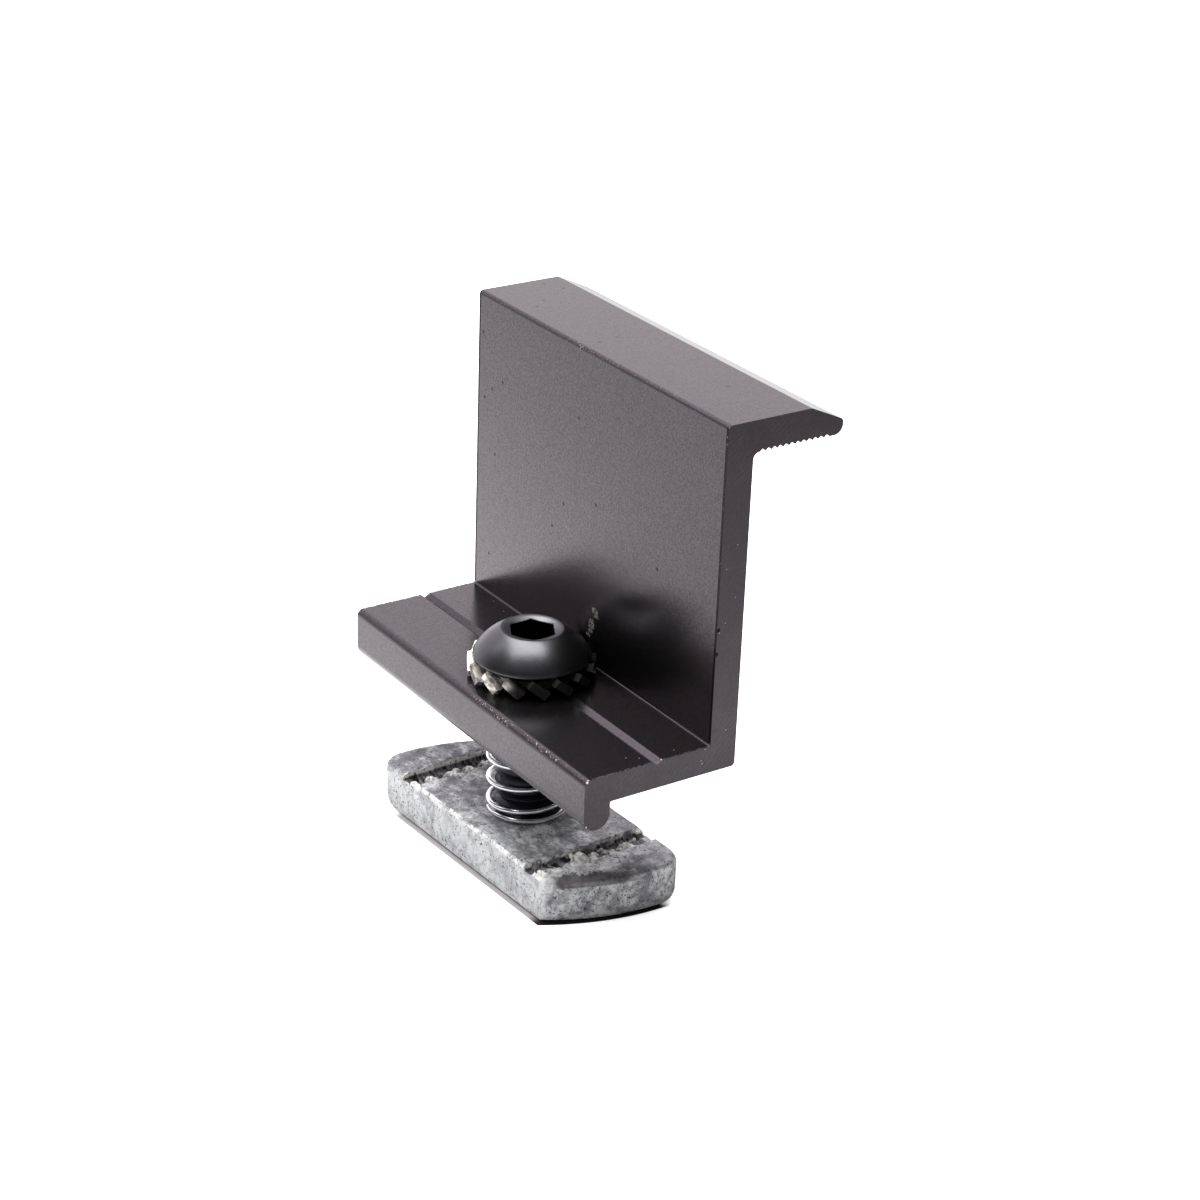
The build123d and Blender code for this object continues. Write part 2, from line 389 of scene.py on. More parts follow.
# Black anodised aluminium, extruded and sawn: the dyed skin is nearly black and gives a satin sheen, and bare
# metal shows at the nicks. The etched grain, the die lines and the saw's marks are drawn coarser than the
# real ones, which are too fine to show.
anodised = bpy.data.materials.new("black_anodised_aluminium")
anodised.use_nodes = True
tree = anodised.node_tree
tree.nodes.clear()
place = add(tree, "ShaderNodeTexCoord").outputs["Object"]
parts = add(tree, "ShaderNodeSeparateXYZ", {}, {0: place})
side_y = add(tree, "ShaderNodeMath", {"operation": "ABSOLUTE"}, {0: parts.outputs["Y"]}).outputs[0]
on_end = add(tree, "ShaderNodeMath", {"operation": "GREATER_THAN", 1: end_plane}, {0: side_y}).outputs[0]
by_end = add(
    tree,
    "ShaderNodeMath",
    {"operation": "SUBTRACT"},
    {
        0: add(
            tree, "ShaderNodeMath", {"operation": "GREATER_THAN", 1: end_plane - 0.0002}, {0: side_y}
        ).outputs[0],
        1: on_end,
    },
).outputs[0]
flat = add(tree, "ShaderNodeMapping", {"Scale": (1.0, 0.0, 1.0)}, {"Vector": place}).outputs[0]
edge_lines = [(web_face + 0.00015, 0, crown_top - 0.00015), (clamp_low.x + 0.00023, 0, foot_top - 0.00023)]
by_edge = add(
    tree, "ShaderNodeMath", {"operation": "LESS_THAN", 1: 0.0003}, {0: nearest(tree, flat, edge_lines)}
).outputs[0]
rubbed_places = [(web_face, 0.0012, crown_top)]
rubbed_places += [(clamp_low.x, -0.006, foot_top), (clamp_low.x, -0.016, foot_top)]
rubbed = add(
    tree,
    "ShaderNodeMapRange",
    {"interpolation_type": "SMOOTHSTEP", "From Min": 0.002, "From Max": 0.007, "To Min": 0.08, "To Max": 0.0},
    {"Value": nearest(tree, place, rubbed_places)},
).outputs[0]
chips = add(
    tree,
    "ShaderNodeMapRange",
    {"interpolation_type": "SMOOTHSTEP", "From Min": 0.69, "From Max": 0.72},
    {
        "Value": add(
            tree,
            "ShaderNodeMath",
            {"operation": "ADD"},
            {
                0: add(
                    tree,
                    "ShaderNodeTexNoise",
                    {"Scale": 1 / 0.00025, "Detail": 3.0, "Roughness": 0.65},
                    {"Vector": place},
                ).outputs["Fac"],
                1: rubbed,
            },
        ).outputs[0],
    },
).outputs[0]
at_foot = add(
    tree, "ShaderNodeMath", {"operation": "COMPARE", 1: foot_top, 2: 0.0003}, {0: parts.outputs["Z"]}
).outputs[0]
at_foot = add(
    tree,
    "ShaderNodeMath",
    {"operation": "MULTIPLY"},
    {
        0: at_foot,
        1: add(
            tree, "ShaderNodeMath", {"operation": "LESS_THAN", 1: web_face}, {0: parts.outputs["X"]}
        ).outputs[0],
    },
).outputs[0]
end_wear = add(
    tree,
    "ShaderNodeMath",
    {"operation": "ADD"},
    {
        0: add(
            tree,
            "ShaderNodeTexNoise",
            {"Scale": 1 / 0.0004, "Detail": 3.0, "Roughness": 0.6},
            {"Vector": place},
        ).outputs["Fac"],
        1: add(tree, "ShaderNodeMath", {"operation": "MULTIPLY", 1: 0.18}, {0: at_foot}).outputs[0],
    },
).outputs[0]
end_chips = add(
    tree,
    "ShaderNodeMapRange",
    {"interpolation_type": "SMOOTHSTEP", "From Min": 0.69, "From Max": 0.72},
    {"Value": end_wear},
).outputs[0]
nicks = add(
    tree,
    "ShaderNodeMath",
    {"operation": "MAXIMUM"},
    {
        0: add(tree, "ShaderNodeMath", {"operation": "MULTIPLY"}, {0: by_end, 1: end_chips}).outputs[0],
        1: add(tree, "ShaderNodeMath", {"operation": "MULTIPLY"}, {0: by_edge, 1: chips}).outputs[0],
    },
).outputs[0]
dots = [(web_face, cut_end, crown_top - 0.0001)]
dots += [(clamp_low.x + 0.0003, cut_end, foot_top - drop) for drop in (0.0002, 0.0057)]
bare = add(
    tree,
    "ShaderNodeMath",
    {"operation": "MAXIMUM"},
    {
        0: nicks,
        1: add(
            tree,
            "ShaderNodeMapRange",
            {
                "interpolation_type": "SMOOTHSTEP",
                "From Min": 0.00008,
                "From Max": 0.00018,
                "To Min": 1.0,
                "To Max": 0.0,
            },
            {"Value": nearest(tree, place, dots)},
        ).outputs[0],
    },
).outputs[0]
end_dots = [(x / 1000, cut_end, foot_top + h / 1000) for x, h in end_dust]
end_dots += [(x / 1000, y / 1000, foot_top) for x, y in foot_dust]
dents = [(web_face + 0.0002, cut_end, foot_top + 0.0141), (web_face + 0.0001, cut_end, foot_top + 0.0112)]
bare = add(
    tree,
    "ShaderNodeMath",
    {"operation": "MAXIMUM"},
    {
        0: bare,
        1: add(
            tree,
            "ShaderNodeMapRange",
            {
                "interpolation_type": "SMOOTHSTEP",
                "From Min": 0.00004,
                "From Max": 0.0001,
                "To Min": 0.55,
                "To Max": 0.0,
            },
            {"Value": nearest(tree, place, end_dots)},
        ).outputs[0],
    },
).outputs[0]
# Two small bright marks on the web beside the screw's head, stretched along Y, drawn in the bare metal's
# colour.
bright_mark_places = [(web_face, y * mark_stretch / 1000, foot_top + h / 1000) for y, h in web_bright_marks]
wide = add(
    tree, "ShaderNodeMapping", {"Scale": (1.0, mark_stretch, 1.0)}, {"Vector": place}
).outputs[0]
bright_marks = add(
    tree,
    "ShaderNodeMapRange",
    {
        "interpolation_type": "SMOOTHSTEP",
        "From Min": 0.00013,
        "From Max": 0.00027,
        "To Min": 0.85,
        "To Max": 0.0,
    },
    {"Value": nearest(tree, wide, bright_mark_places)},
).outputs[0]
bright_marks = add(
    tree,
    "ShaderNodeMath",
    {"operation": "MULTIPLY"},
    {
        0: bright_marks,
        1: add(
            tree,
            "ShaderNodeMapRange",
            {"interpolation_type": "SMOOTHSTEP", "From Min": 0.4, "From Max": 0.52},
            {
                "Value": add(
                    tree, "ShaderNodeTexNoise", {"Scale": 1 / 0.00035}, {"Vector": place}
                ).outputs["Fac"],
            },
        ).outputs[0],
    },
).outputs[0]
bare = add(tree, "ShaderNodeMath", {"operation": "MAXIMUM"}, {0: bare, 1: bright_marks}).outputs[0]
specks = [(web_face, y / 1000, foot_top + h / 1000) for y, h in web_specks]
specks += [(x / 1000, y / 1000, crown_top) for x, y in lip_specks]
speck = add(
    tree,
    "ShaderNodeMapRange",
    {
        "interpolation_type": "SMOOTHSTEP",
        "From Min": 0.00012,
        "From Max": 0.00032,
        "To Min": 1.0,
        "To Max": 0.0,
    },
    {"Value": nearest(tree, place, specks)},
).outputs[0]
drawn = add(tree, "ShaderNodeMapping", {"Scale": (1.0, 0.02, 1.0)}, {"Vector": place}).outputs[0]
die_lines = add(
    tree, "ShaderNodeTexNoise", {"Scale": 1 / 0.0005, "Detail": 3.0, "Roughness": 0.55}, {"Vector": drawn}
).outputs["Fac"]
blade_shift = (-0.086, 0.0, 0.047)
mark_pitch = 0.00055
from_blade = add(tree, "ShaderNodeMapping", {"Location": blade_shift}, {"Vector": place}).outputs[0]
arcs = add(
    tree,
    "ShaderNodeTexWave",
    {
        "wave_type": "RINGS",
        "rings_direction": "Y",
        "Scale": 0.314 / mark_pitch,
        "Distortion": 4.0,
        "Detail": 2.0,
        "Detail Scale": 0.6,
    },
    {"Vector": from_blade},
)
patches = add(
    tree,
    "ShaderNodeMapRange",
    {"interpolation_type": "SMOOTHSTEP", "From Min": 0.45, "From Max": 0.65},
    {"Value": add(tree, "ShaderNodeTexNoise", {"Scale": 1 / 0.004}, {"Vector": place}).outputs["Fac"]},
).outputs[0]
saw_marks = add(
    tree,
    "ShaderNodeMath",
    {"operation": "MULTIPLY"},
    {
        0: add(
            tree, "ShaderNodeMath", {"operation": "MULTIPLY"}, {0: arcs.outputs["Fac"], 1: patches}
        ).outputs[0],
        1: on_end,
    },
).outputs[0]
grain = add(
    tree, "ShaderNodeTexNoise", {"Scale": 1 / 0.00019, "Roughness": 0.6}, {"Vector": place}
).outputs["Fac"]
grain_reach = add(
    tree,
    "ShaderNodeMapRange",
    {"interpolation_type": "SMOOTHSTEP", "To Min": 0.3, "To Max": 0.07},
    {"Value": on_end},
).outputs[0]
shine = add(
    tree,
    "ShaderNodeMath",
    {"operation": "MULTIPLY"},
    {
        0: add(
            tree, "ShaderNodeMapRange", {"From Min": 0.3, "From Max": 0.7, "To Min": -1.0}, {"Value": grain}
        ).outputs[0],
        1: grain_reach,
    },
).outputs[0]
end_shine = add(
    tree,
    "ShaderNodeMapRange",
    {
        "interpolation_type": "SMOOTHSTEP",
        "From Min": foot_top - 0.008,
        "From Max": foot_top + 0.004,
        "To Min": 0.36,
        "To Max": 0.54,
    },
    {"Value": parts.outputs["Z"]},
).outputs[0]
end_shine = add(
    tree,
    "ShaderNodeMath",
    {"operation": "MULTIPLY"},
    {
        0: end_shine,
        1: add(
            tree,
            "ShaderNodeMapRange",
            {
                "interpolation_type": "SMOOTHSTEP",
                "From Min": crown_top - 0.006,
                "From Max": crown_top,
                "To Min": 1.0,
                "To Max": 0.84,
            },
            {"Value": parts.outputs["Z"]},
        ).outputs[0],
    },
).outputs[0]
level = add(
    tree, "ShaderNodeMix", {"data_type": "FLOAT", "A": 0.69}, {"Factor": on_end, "B": end_shine}
).outputs["Result"]
shine = add(tree, "ShaderNodeMath", {"operation": "ADD"}, {0: shine, 1: level}).outputs[0]
shine = add(
    tree,
    "ShaderNodeMath",
    {"operation": "ADD"},
    {0: shine, 1: add(tree, "ShaderNodeMath", {"operation": "MULTIPLY", 1: 0.12}, {0: die_lines}).outputs[0]},
).outputs[0]
shine = add(
    tree,
    "ShaderNodeMath",
    {"operation": "ADD"},
    {0: shine, 1: add(tree, "ShaderNodeMath", {"operation": "MULTIPLY", 1: 0.1}, {0: saw_marks}).outputs[0]},
).outputs[0]
across_guide = add(
    tree, "ShaderNodeMath", {"operation": "COMPARE", 1: guide_middle, 2: guide_half}, {0: parts.outputs["X"]}
).outputs[0]
in_guide = add(
    tree,
    "ShaderNodeMath",
    {"operation": "MULTIPLY"},
    {
        0: across_guide,
        1: add(
            tree,
            "ShaderNodeMath",
            {"operation": "COMPARE", 1: foot_top - 0.0003, 2: 0.00027},
            {0: parts.outputs["Z"]},
        ).outputs[0],
    },
).outputs[0]
# Painted highlight: the guide groove along the foot's top gets more sheen towards the front end, so its
# facets shine there.
guide_painted_highlight = add(
    tree,
    "ShaderNodeMath",
    {"operation": "MULTIPLY"},
    {
        0: add(
            tree,
            "ShaderNodeMapRange",
            {
                "interpolation_type": "SMOOTHSTEP",
                "From Min": -0.009,
                "From Max": -0.004,
                "To Min": 0.42,
                "To Max": 0.0,
            },
            {"Value": parts.outputs["Y"]},
        ).outputs[0],
        1: in_guide,
    },
).outputs[0]
shine = add(
    tree,
    "ShaderNodeMath",
    {"operation": "ADD"},
    {
        0: shine,
        1: add(
            tree,
            "ShaderNodeMath",
            {"operation": "MULTIPLY"},
            {
                0: guide_painted_highlight,
                1: add(tree, "ShaderNodeMath", {"operation": "SUBTRACT", 0: 1.0}, {1: on_end}).outputs[0],
            },
        ).outputs[0],
    },
).outputs[0]
edge_band = add(
    tree, "ShaderNodeMath", {"operation": "GREATER_THAN", 1: end_plane - 0.0003}, {0: side_y}
).outputs[0]
above_foot = add(
    tree, "ShaderNodeMath", {"operation": "GREATER_THAN", 1: foot_top + 0.0002}, {0: parts.outputs["Z"]}
).outputs[0]
on_web = add(
    tree, "ShaderNodeMath", {"operation": "LESS_THAN", 1: web_face + 0.00002}, {0: parts.outputs["X"]}
).outputs[0]
# Painted shade: on the web's last 0.3 mm before each sawn end the sheen is cut, drawing a dark line along the
# edge.
painted_edge_shade = add(
    tree,
    "ShaderNodeMath",
    {"operation": "MULTIPLY"},
    {
        0: edge_band,
        1: add(tree, "ShaderNodeMath", {"operation": "MULTIPLY"}, {0: above_foot, 1: on_web}).outputs[0],
    },
).outputs[0]
dimmed = add(
    tree,
    "ShaderNodeMath",
    {"operation": "MAXIMUM"},
    {
        0: add(tree, "ShaderNodeMath", {"operation": "MULTIPLY", 1: 0.75}, {0: speck}).outputs[0],
        1: add(tree, "ShaderNodeMath", {"operation": "MULTIPLY", 1: 0.85}, {0: painted_edge_shade}).outputs[0],
    },
).outputs[0]
dimmed = add(
    tree,
    "ShaderNodeMath",
    {"operation": "MAXIMUM"},
    {
        0: dimmed,
        1: add(
            tree,
            "ShaderNodeMapRange",
            {
                "interpolation_type": "SMOOTHSTEP",
                "From Min": 0.00018,
                "From Max": 0.0003,
                "To Min": 0.9,
                "To Max": 0.0,
            },
            {"Value": nearest(tree, place, dents)},
        ).outputs[0],
    },
).outputs[0]
shine = add(
    tree,
    "ShaderNodeMath",
    {"operation": "MULTIPLY"},
    {0: shine, 1: add(tree, "ShaderNodeMath", {"operation": "SUBTRACT", 0: 1.0}, {1: dimmed}).outputs[0]},
).outputs[0]
tone = add(
    tree,
    "ShaderNodeMix",
    {"data_type": "RGBA", "A": linear("#050505"), "B": linear("#0d0c0c")},
    {"Factor": on_end},
).outputs["Result"]
tone = add(
    tree, "ShaderNodeMix", {"data_type": "RGBA", "B": linear("#c4bcb6")}, {"Factor": bare, "A": tone}
).outputs["Result"]
grain_bump = add(tree, "ShaderNodeBump", {"Strength": 0.3, "Distance": 0.00002}, {"Height": grain})
shader = add(
    tree,
    "ShaderNodeBsdfPrincipled",
    {"Specular Tint": linear("#ffeefc")},
    {
        "Base Color": tone,
        "Metallic": bare,
        "Roughness": add(
            tree,
            "ShaderNodeMapRange",
            {"interpolation_type": "SMOOTHSTEP", "To Min": 0.23, "To Max": 0.36},
            {"Value": on_end},
        ).outputs[0],
        "Specular IOR Level": shine,
        "Normal": grain_bump.outputs[0],
    },
)
add(tree, "ShaderNodeOutputMaterial", {}, {"Surface": shader.outputs[0]})
clamp = nodes["clamp_body"]
clamp.data.materials.clear()
clamp.data.materials.append(anodised)


# Screw: an M8 button head with a 5 mm hexagon, cold formed with a rolled thread and finished in a black
# zinc coat, which has a soft bluish shine.
def finished(form, name, material, body, sharp=35):
    """Makes a piece of a mesh form: doubles merged, faces outwards, smooth except at its sharp edges."""
    bmesh.ops.remove_doubles(form, verts=form.verts, dist=1e-7)
    bmesh.ops.recalc_face_normals(form, faces=form.faces)
    mesh = bpy.data.meshes.new(name)
    form.to_mesh(mesh)
    form.free()
    mesh.shade_smooth()
    mesh.set_sharp_from_angle(angle=radians(sharp))
    mesh.materials.append(material)
    piece = bpy.data.objects.new(name, mesh)
    scene.collection.objects.link(piece)
    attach(piece, body)
    return piece


screw_low, screw_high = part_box("socket_screw")
screw_tip = screw_low.z
rim_height = screw_high.z
head_radius = 0.006875
head_band = 0.00032
head_tall = 0.00339
head_bottom = rim_height - head_tall
rim_radius = 0.00366
crown_radius = 0.00795
dish_slope = 0.29
hex_width = 0.005
hex_turn = radians(1.35)
hex_depth = 0.003
thread_radius = 0.00395
thread_root = 0.00324
thread_pitch = 0.00125
tip_chamfer = 0.0008
turn_steps = 96
crown_centre = sqrt(crown_radius**2 - rim_radius**2)
crown_steps = 12
low_angle = asin(head_radius / crown_radius)
high_angle = asin(rim_radius / crown_radius)
form = bmesh.new()
outline = [(0, head_bottom), (thread_root, head_bottom), (head_radius - 0.0001, head_bottom)]
outline += [(head_radius, head_bottom + 0.0001), (head_radius, head_bottom + head_band - 0.00006)]
for n in range(crown_steps + 1):
    angle = low_angle + (high_angle - low_angle) * n / crown_steps
    outline.append((crown_radius * sin(angle), rim_height - crown_centre + crown_radius * cos(angle)))
outline[5] = (head_radius - 0.00006, outline[5][1])
outline[-1] = (rim_radius + 0.00006, outline[-1][1] - 0.00004)
outline.append((rim_radius - 0.00006, rim_height - 0.00002))
outline += [(0.0032, rim_height - (rim_radius - 0.0032) * dish_slope)]
mouth_at = len(outline)
outline += [(hex_width / 2, 0.0), (hex_width / 2, 0.0), (hex_width / 2, rim_height - hex_depth)]
outline += [(hex_width / 2 - 0.00001, rim_height - hex_depth - 0.00001)]
outline += [(0, rim_height - hex_depth - hex_width / 2 / tan(radians(59)))]
rank = form.verts.layers.int.new("rank")
line = [form.verts.new((r * cos(hex_turn), r * sin(hex_turn), z)) for r, z in outline]
for n, vert in enumerate(line):
    vert[rank] = n
for n, vert in enumerate(line[:-1]):
    form.edges.new((vert, line[n + 1]))
bmesh.ops.spin(
    form,
    geom=form.verts[:] + form.edges[:],
    cent=(0, 0, 0),
    axis=(0, 0, 1),
    angle=2 * pi,
    steps=turn_steps,
    use_merge=True,
)
for vert in form.verts:
    level = vert[rank] - mouth_at
    if level in (0, 1, 2):
        turn = (atan2(vert.co.y, vert.co.x) - hex_turn) % (pi / 3)
        reach = hex_width / 2 / cos(turn - pi / 6) + (0.00006 if level == 0 else 0)
        flat = Vector((vert.co.x, vert.co.y, 0)).normalized() * reach
        dish = rim_height - (rim_radius - reach) * dish_slope
        height = {0: dish, 1: dish - 0.00006, 2: vert.co.z}[level]
        vert.co = Vector((flat.x, flat.y, height))
head_form = form
bmesh.ops.remove_doubles(head_form, verts=head_form.verts, dist=1e-7)
form = bmesh.new()
ridges = int((head_bottom - screw_tip) / thread_pitch) + 4
outline = []
for n in range(ridges):
    base = screw_tip - 2 * thread_pitch + n * thread_pitch
    outline += [
        (thread_root + 0.00006, base + 0.0),
        (thread_root, base + 0.06 * thread_pitch),
        (thread_root, base + 0.19 * thread_pitch),
        (thread_root + 0.00006, base + 0.25 * thread_pitch),
        (thread_radius - 0.00005, base + 0.54 * thread_pitch),
        (thread_radius, base + 0.59 * thread_pitch),
        (thread_radius, base + 0.66 * thread_pitch),
        (thread_radius - 0.00005, base + 0.71 * thread_pitch),
    ]
line = [form.verts.new((r, 0, z)) for r, z in outline]
for n, vert in enumerate(line[:-1]):
    form.edges.new((vert, line[n + 1]))
thread_steps = 64
bmesh.ops.spin(
    form,
    geom=form.verts[:] + form.edges[:],
    cent=(0, 0, 0),
    axis=(0, 0, 1),
    dvec=(0, 0, thread_pitch / thread_steps),
    angle=2 * pi,
    steps=thread_steps,
    use_merge=False,
)
bmesh.ops.remove_doubles(form, verts=form.verts, dist=2e-6)
for level, outer in ((screw_tip, False), (head_bottom + 0.0002, True)):
    bmesh.ops.bisect_plane(
        form,
        geom=form.verts[:] + form.edges[:] + form.faces[:],
        plane_co=(0, 0, level),
        plane_no=(0, 0, 1),
        clear_outer=outer,
        clear_inner=not outer,
    )
bmesh.ops.triangle_fill(form, use_beauty=True, edges=[e for e in form.edges if e.is_boundary])
for vert in form.verts:
    across = Vector((vert.co.x, vert.co.y, 0))
    allowed = thread_radius - tip_chamfer + (vert.co.z - screw_tip)
    if across.length > allowed:
        across = across.normalized() * allowed
        vert.co = Vector((across.x, across.y, vert.co.z))
thread_mesh = bpy.data.meshes.new("thread_form")
form.to_mesh(thread_mesh)
form.free()
head_form.from_mesh(thread_mesh)
bpy.data.meshes.remove(thread_mesh)

# Black zinc on cold formed steel: a dark metal with a soft, slightly bluish shine. A painted highlight
# lightens the head's dish, and painted shade darkens the socket, where little light gets, and the thread. The
# coat's grain is drawn coarser than the real one.
black_zinc = bpy.data.materials.new("black_zinc_steel")
black_zinc.use_nodes = True
tree = black_zinc.node_tree
tree.nodes.clear()
place = add(tree, "ShaderNodeTexCoord").outputs["Object"]
parts = add(tree, "ShaderNodeSeparateXYZ", {}, {0: place})
coat = add(
    tree,
    "ShaderNodeMix",
    {"data_type": "RGBA", "A": linear("#49494c"), "B": linear("#5b5b5e")},
    {
        "Factor": add(
            tree,
            "ShaderNodeTexNoise",
            {"Scale": 1 / 0.0012, "Detail": 4.0, "Roughness": 0.6},
            {"Vector": place},
        ).outputs["Fac"],
    },
).outputs["Result"]
# Painted shade: the thread below the head is drawn darker, as it sits inside the spring and the nut.
coat = add(
    tree,
    "ShaderNodeMix",
    {"data_type": "RGBA", "B": linear("#2e2e31")},
    {
        "Factor": add(
            tree,
            "ShaderNodeMath",
            {"operation": "LESS_THAN", 1: head_bottom - 0.0001},
            {0: parts.outputs["Z"]},
        ).outputs[0],
        "A": coat,
    },
).outputs["Result"]
axis_point = add(tree, "ShaderNodeMapping", {"Scale": (1.0, 1.0, 0.0)}, {"Vector": place}).outputs[0]
in_socket = add(
    tree, "ShaderNodeMath", {"operation": "LESS_THAN", 1: 0.003}, {0: nearest(tree, axis_point, [(0, 0, 0)])}
).outputs[0]
below_dish = add(
    tree, "ShaderNodeMath", {"operation": "LESS_THAN", 1: rim_height - 0.00037}, {0: parts.outputs["Z"]}
).outputs[0]
in_dish = add(
    tree,
    "ShaderNodeMath",
    {"operation": "LESS_THAN", 1: rim_radius - 0.00008},
    {0: nearest(tree, axis_point, [(0, 0, 0)])},
).outputs[0]
in_dish = add(
    tree,
    "ShaderNodeMath",
    {"operation": "MULTIPLY"},
    {
        0: in_dish,
        1: add(
            tree,
            "ShaderNodeMath",
            {"operation": "GREATER_THAN", 1: rim_height - 0.001},
            {0: parts.outputs["Z"]},
        ).outputs[0],
    },
).outputs[0]
# Painted highlight: the head's dish is drawn in a lighter grey than the rest of the coat.
coat = add(
    tree, "ShaderNodeMix", {"data_type": "RGBA", "B": linear("#8a8a8d")}, {"Factor": in_dish, "A": coat}
).outputs["Result"]
# Painted shade: the socket below the dish is drawn nearly black.
socket_painted_shade = add(tree, "ShaderNodeMath", {"operation": "MULTIPLY"}, {0: in_socket, 1: below_dish}).outputs[0]
fine = add(tree, "ShaderNodeTexNoise", {"Scale": 1 / 0.0002}, {"Vector": place}).outputs["Fac"]
fine_bump = add(tree, "ShaderNodeBump", {"Strength": 0.3, "Distance": 0.00002}, {"Height": fine})
shader = add(
    tree,
    "ShaderNodeBsdfPrincipled",
    {"Metallic": 1.0, "Roughness": 0.32},
    {
        "Base Color": add(
            tree,
            "ShaderNodeMix",
            {"data_type": "RGBA", "B": linear("#1b1b1c")},
            {"Factor": socket_painted_shade, "A": coat},
        ).outputs["Result"],
        "Normal": fine_bump.outputs[0],
    },
)
add(tree, "ShaderNodeOutputMaterial", {}, {"Surface": shader.outputs[0]})
screw = finished(head_form, "button_head_screw", black_zinc, "screw")
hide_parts("socket_screw")

# Lock washer: stamped from bright spring steel, its teeth twisted out of the ring's plane, so that they bite
# between the screw's head and the foot. It keeps the imported solid's mesh and only gets its finish here.
# Bright spring steel, stamped and tumbled: warm and shiny with darker scuffs. Light and shade are painted on:
# the teeth towards the web, which mirror the black web and the dark room, are drawn dark, the others bright.
bright_steel = bpy.data.materials.new("bright_spring_steel")
bright_steel.use_nodes = True
tree = bright_steel.node_tree
tree.nodes.clear()
place = add(tree, "ShaderNodeTexCoord").outputs["Object"]
scuffs = add(
    tree, "ShaderNodeTexNoise", {"Scale": 1 / 0.0009, "Detail": 3.0, "Roughness": 0.6}, {"Vector": place}
).outputs["Fac"]
scuff_bump = add(tree, "ShaderNodeBump", {"Strength": 0.3, "Distance": 0.00005}, {"Height": scuffs})
# Painted light and shade: 1 on the teeth away from the web, which get the bright tone, 0 on those towards it.
painted_light_side = add(
    tree,
    "ShaderNodeMapRange",
    {
        "interpolation_type": "SMOOTHSTEP",
        "From Min": -0.0036,
        "From Max": -0.0012,
        "To Min": 1.0,
        "To Max": 0.0,
    },
    {
        "Value": add(
            tree, "ShaderNodeVectorMath", {"operation": "DOT_PRODUCT", 1: (0.82, -0.57, 0.0)}, {0: place}
        ).outputs["Value"],
    },
).outputs[0]
steel_tone = add(
    tree,
    "ShaderNodeMix",
    {"data_type": "RGBA", "A": linear("#8a8480"), "B": linear("#e6e0d8")},
    {
        "Factor": add(
            tree,
            "ShaderNodeMapRange",
            {"interpolation_type": "SMOOTHSTEP", "From Min": 0.38, "From Max": 0.6},
            {"Value": scuffs},
        ).outputs[0],
    },
).outputs["Result"]
shader = add(
    tree,
    "ShaderNodeBsdfPrincipled",
    {"Metallic": 0.65, "Roughness": 0.2},
    {
        "Base Color": add(
            tree,
            "ShaderNodeMix",
            {"data_type": "RGBA", "A": linear("#343231")},
            {"Factor": painted_light_side, "B": steel_tone},
        ).outputs["Result"],
        "Normal": scuff_bump.outputs[0],
    },
)
add(tree, "ShaderNodeOutputMaterial", {}, {"Surface": shader.outputs[0]})
washer = nodes["lock_washer"]
washer.data.materials.clear()
washer.data.materials.append(bright_steel)

# Spring: hard drawn stainless wire, wound right-handed with its end turns closed. It presses the clamp up
# against the screw's head.
spring_low, spring_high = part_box("spring")
wire_radius = 0.000325
coil_radius = 0.00505 - wire_radius
coil_turns = 6.1
closed_turns = 0.83
ramp_turns = 0.25
closed_pitch = 0.0007
coil_start = radians(160)
wire_sides = 16
coil_steps_per_turn = 64
spring_rise = spring_high.z - spring_low.z - 2 * wire_radius
end_rise = closed_turns * closed_pitch + ramp_turns * closed_pitch / 2
open_pitch = (spring_rise - 2 * end_rise) / (coil_turns - 2 * closed_turns - ramp_turns)
form = bmesh.new()
ring_turn = Matrix.Rotation(coil_start, 4, "Z")
ring_centre = Matrix.Translation((coil_radius, 0, spring_low.z + wire_radius))
ring_place = ring_centre @ Matrix.Rotation(pi / 2, 4, "X")
ring = bmesh.ops.create_circle(
    form, cap_ends=False, radius=wire_radius, segments=wire_sides, matrix=ring_turn @ ring_place
)["verts"]
ring_edges = [e for e in form.edges]
first_ring = list(ring_edges)
ramp_pieces = 4
stretches = [(closed_turns, closed_pitch)]
for n in range(ramp_pieces):
    stretches.append(
        (ramp_turns / ramp_pieces, closed_pitch + (open_pitch - closed_pitch) * (n + 0.5) / ramp_pieces)
    )
open_turns = coil_turns - 2 * closed_turns - 2 * ramp_turns
stretches = stretches + [(open_turns, open_pitch)] + stretches[::-1]
rise_total = sum(turns * pitch for turns, pitch in stretches)
rise_scale = spring_rise / rise_total
geometry = ring + ring_edges
for turns, pitch in stretches:
    steps = max(2, round(turns * coil_steps_per_turn))
    made = bmesh.ops.spin(
        form,
        geom=geometry,
        cent=(0, 0, 0),
        axis=(0, 0, 1),
        dvec=(0, 0, pitch * rise_scale * turns / steps),
        angle=2 * pi * turns,
        steps=steps,
        use_merge=False,
    )
    geometry = made["geom_last"]
last_ring = [g for g in geometry if isinstance(g, bmesh.types.BMEdge)]
for loop in (first_ring, last_ring):
    bmesh.ops.contextual_create(form, geom=loop)
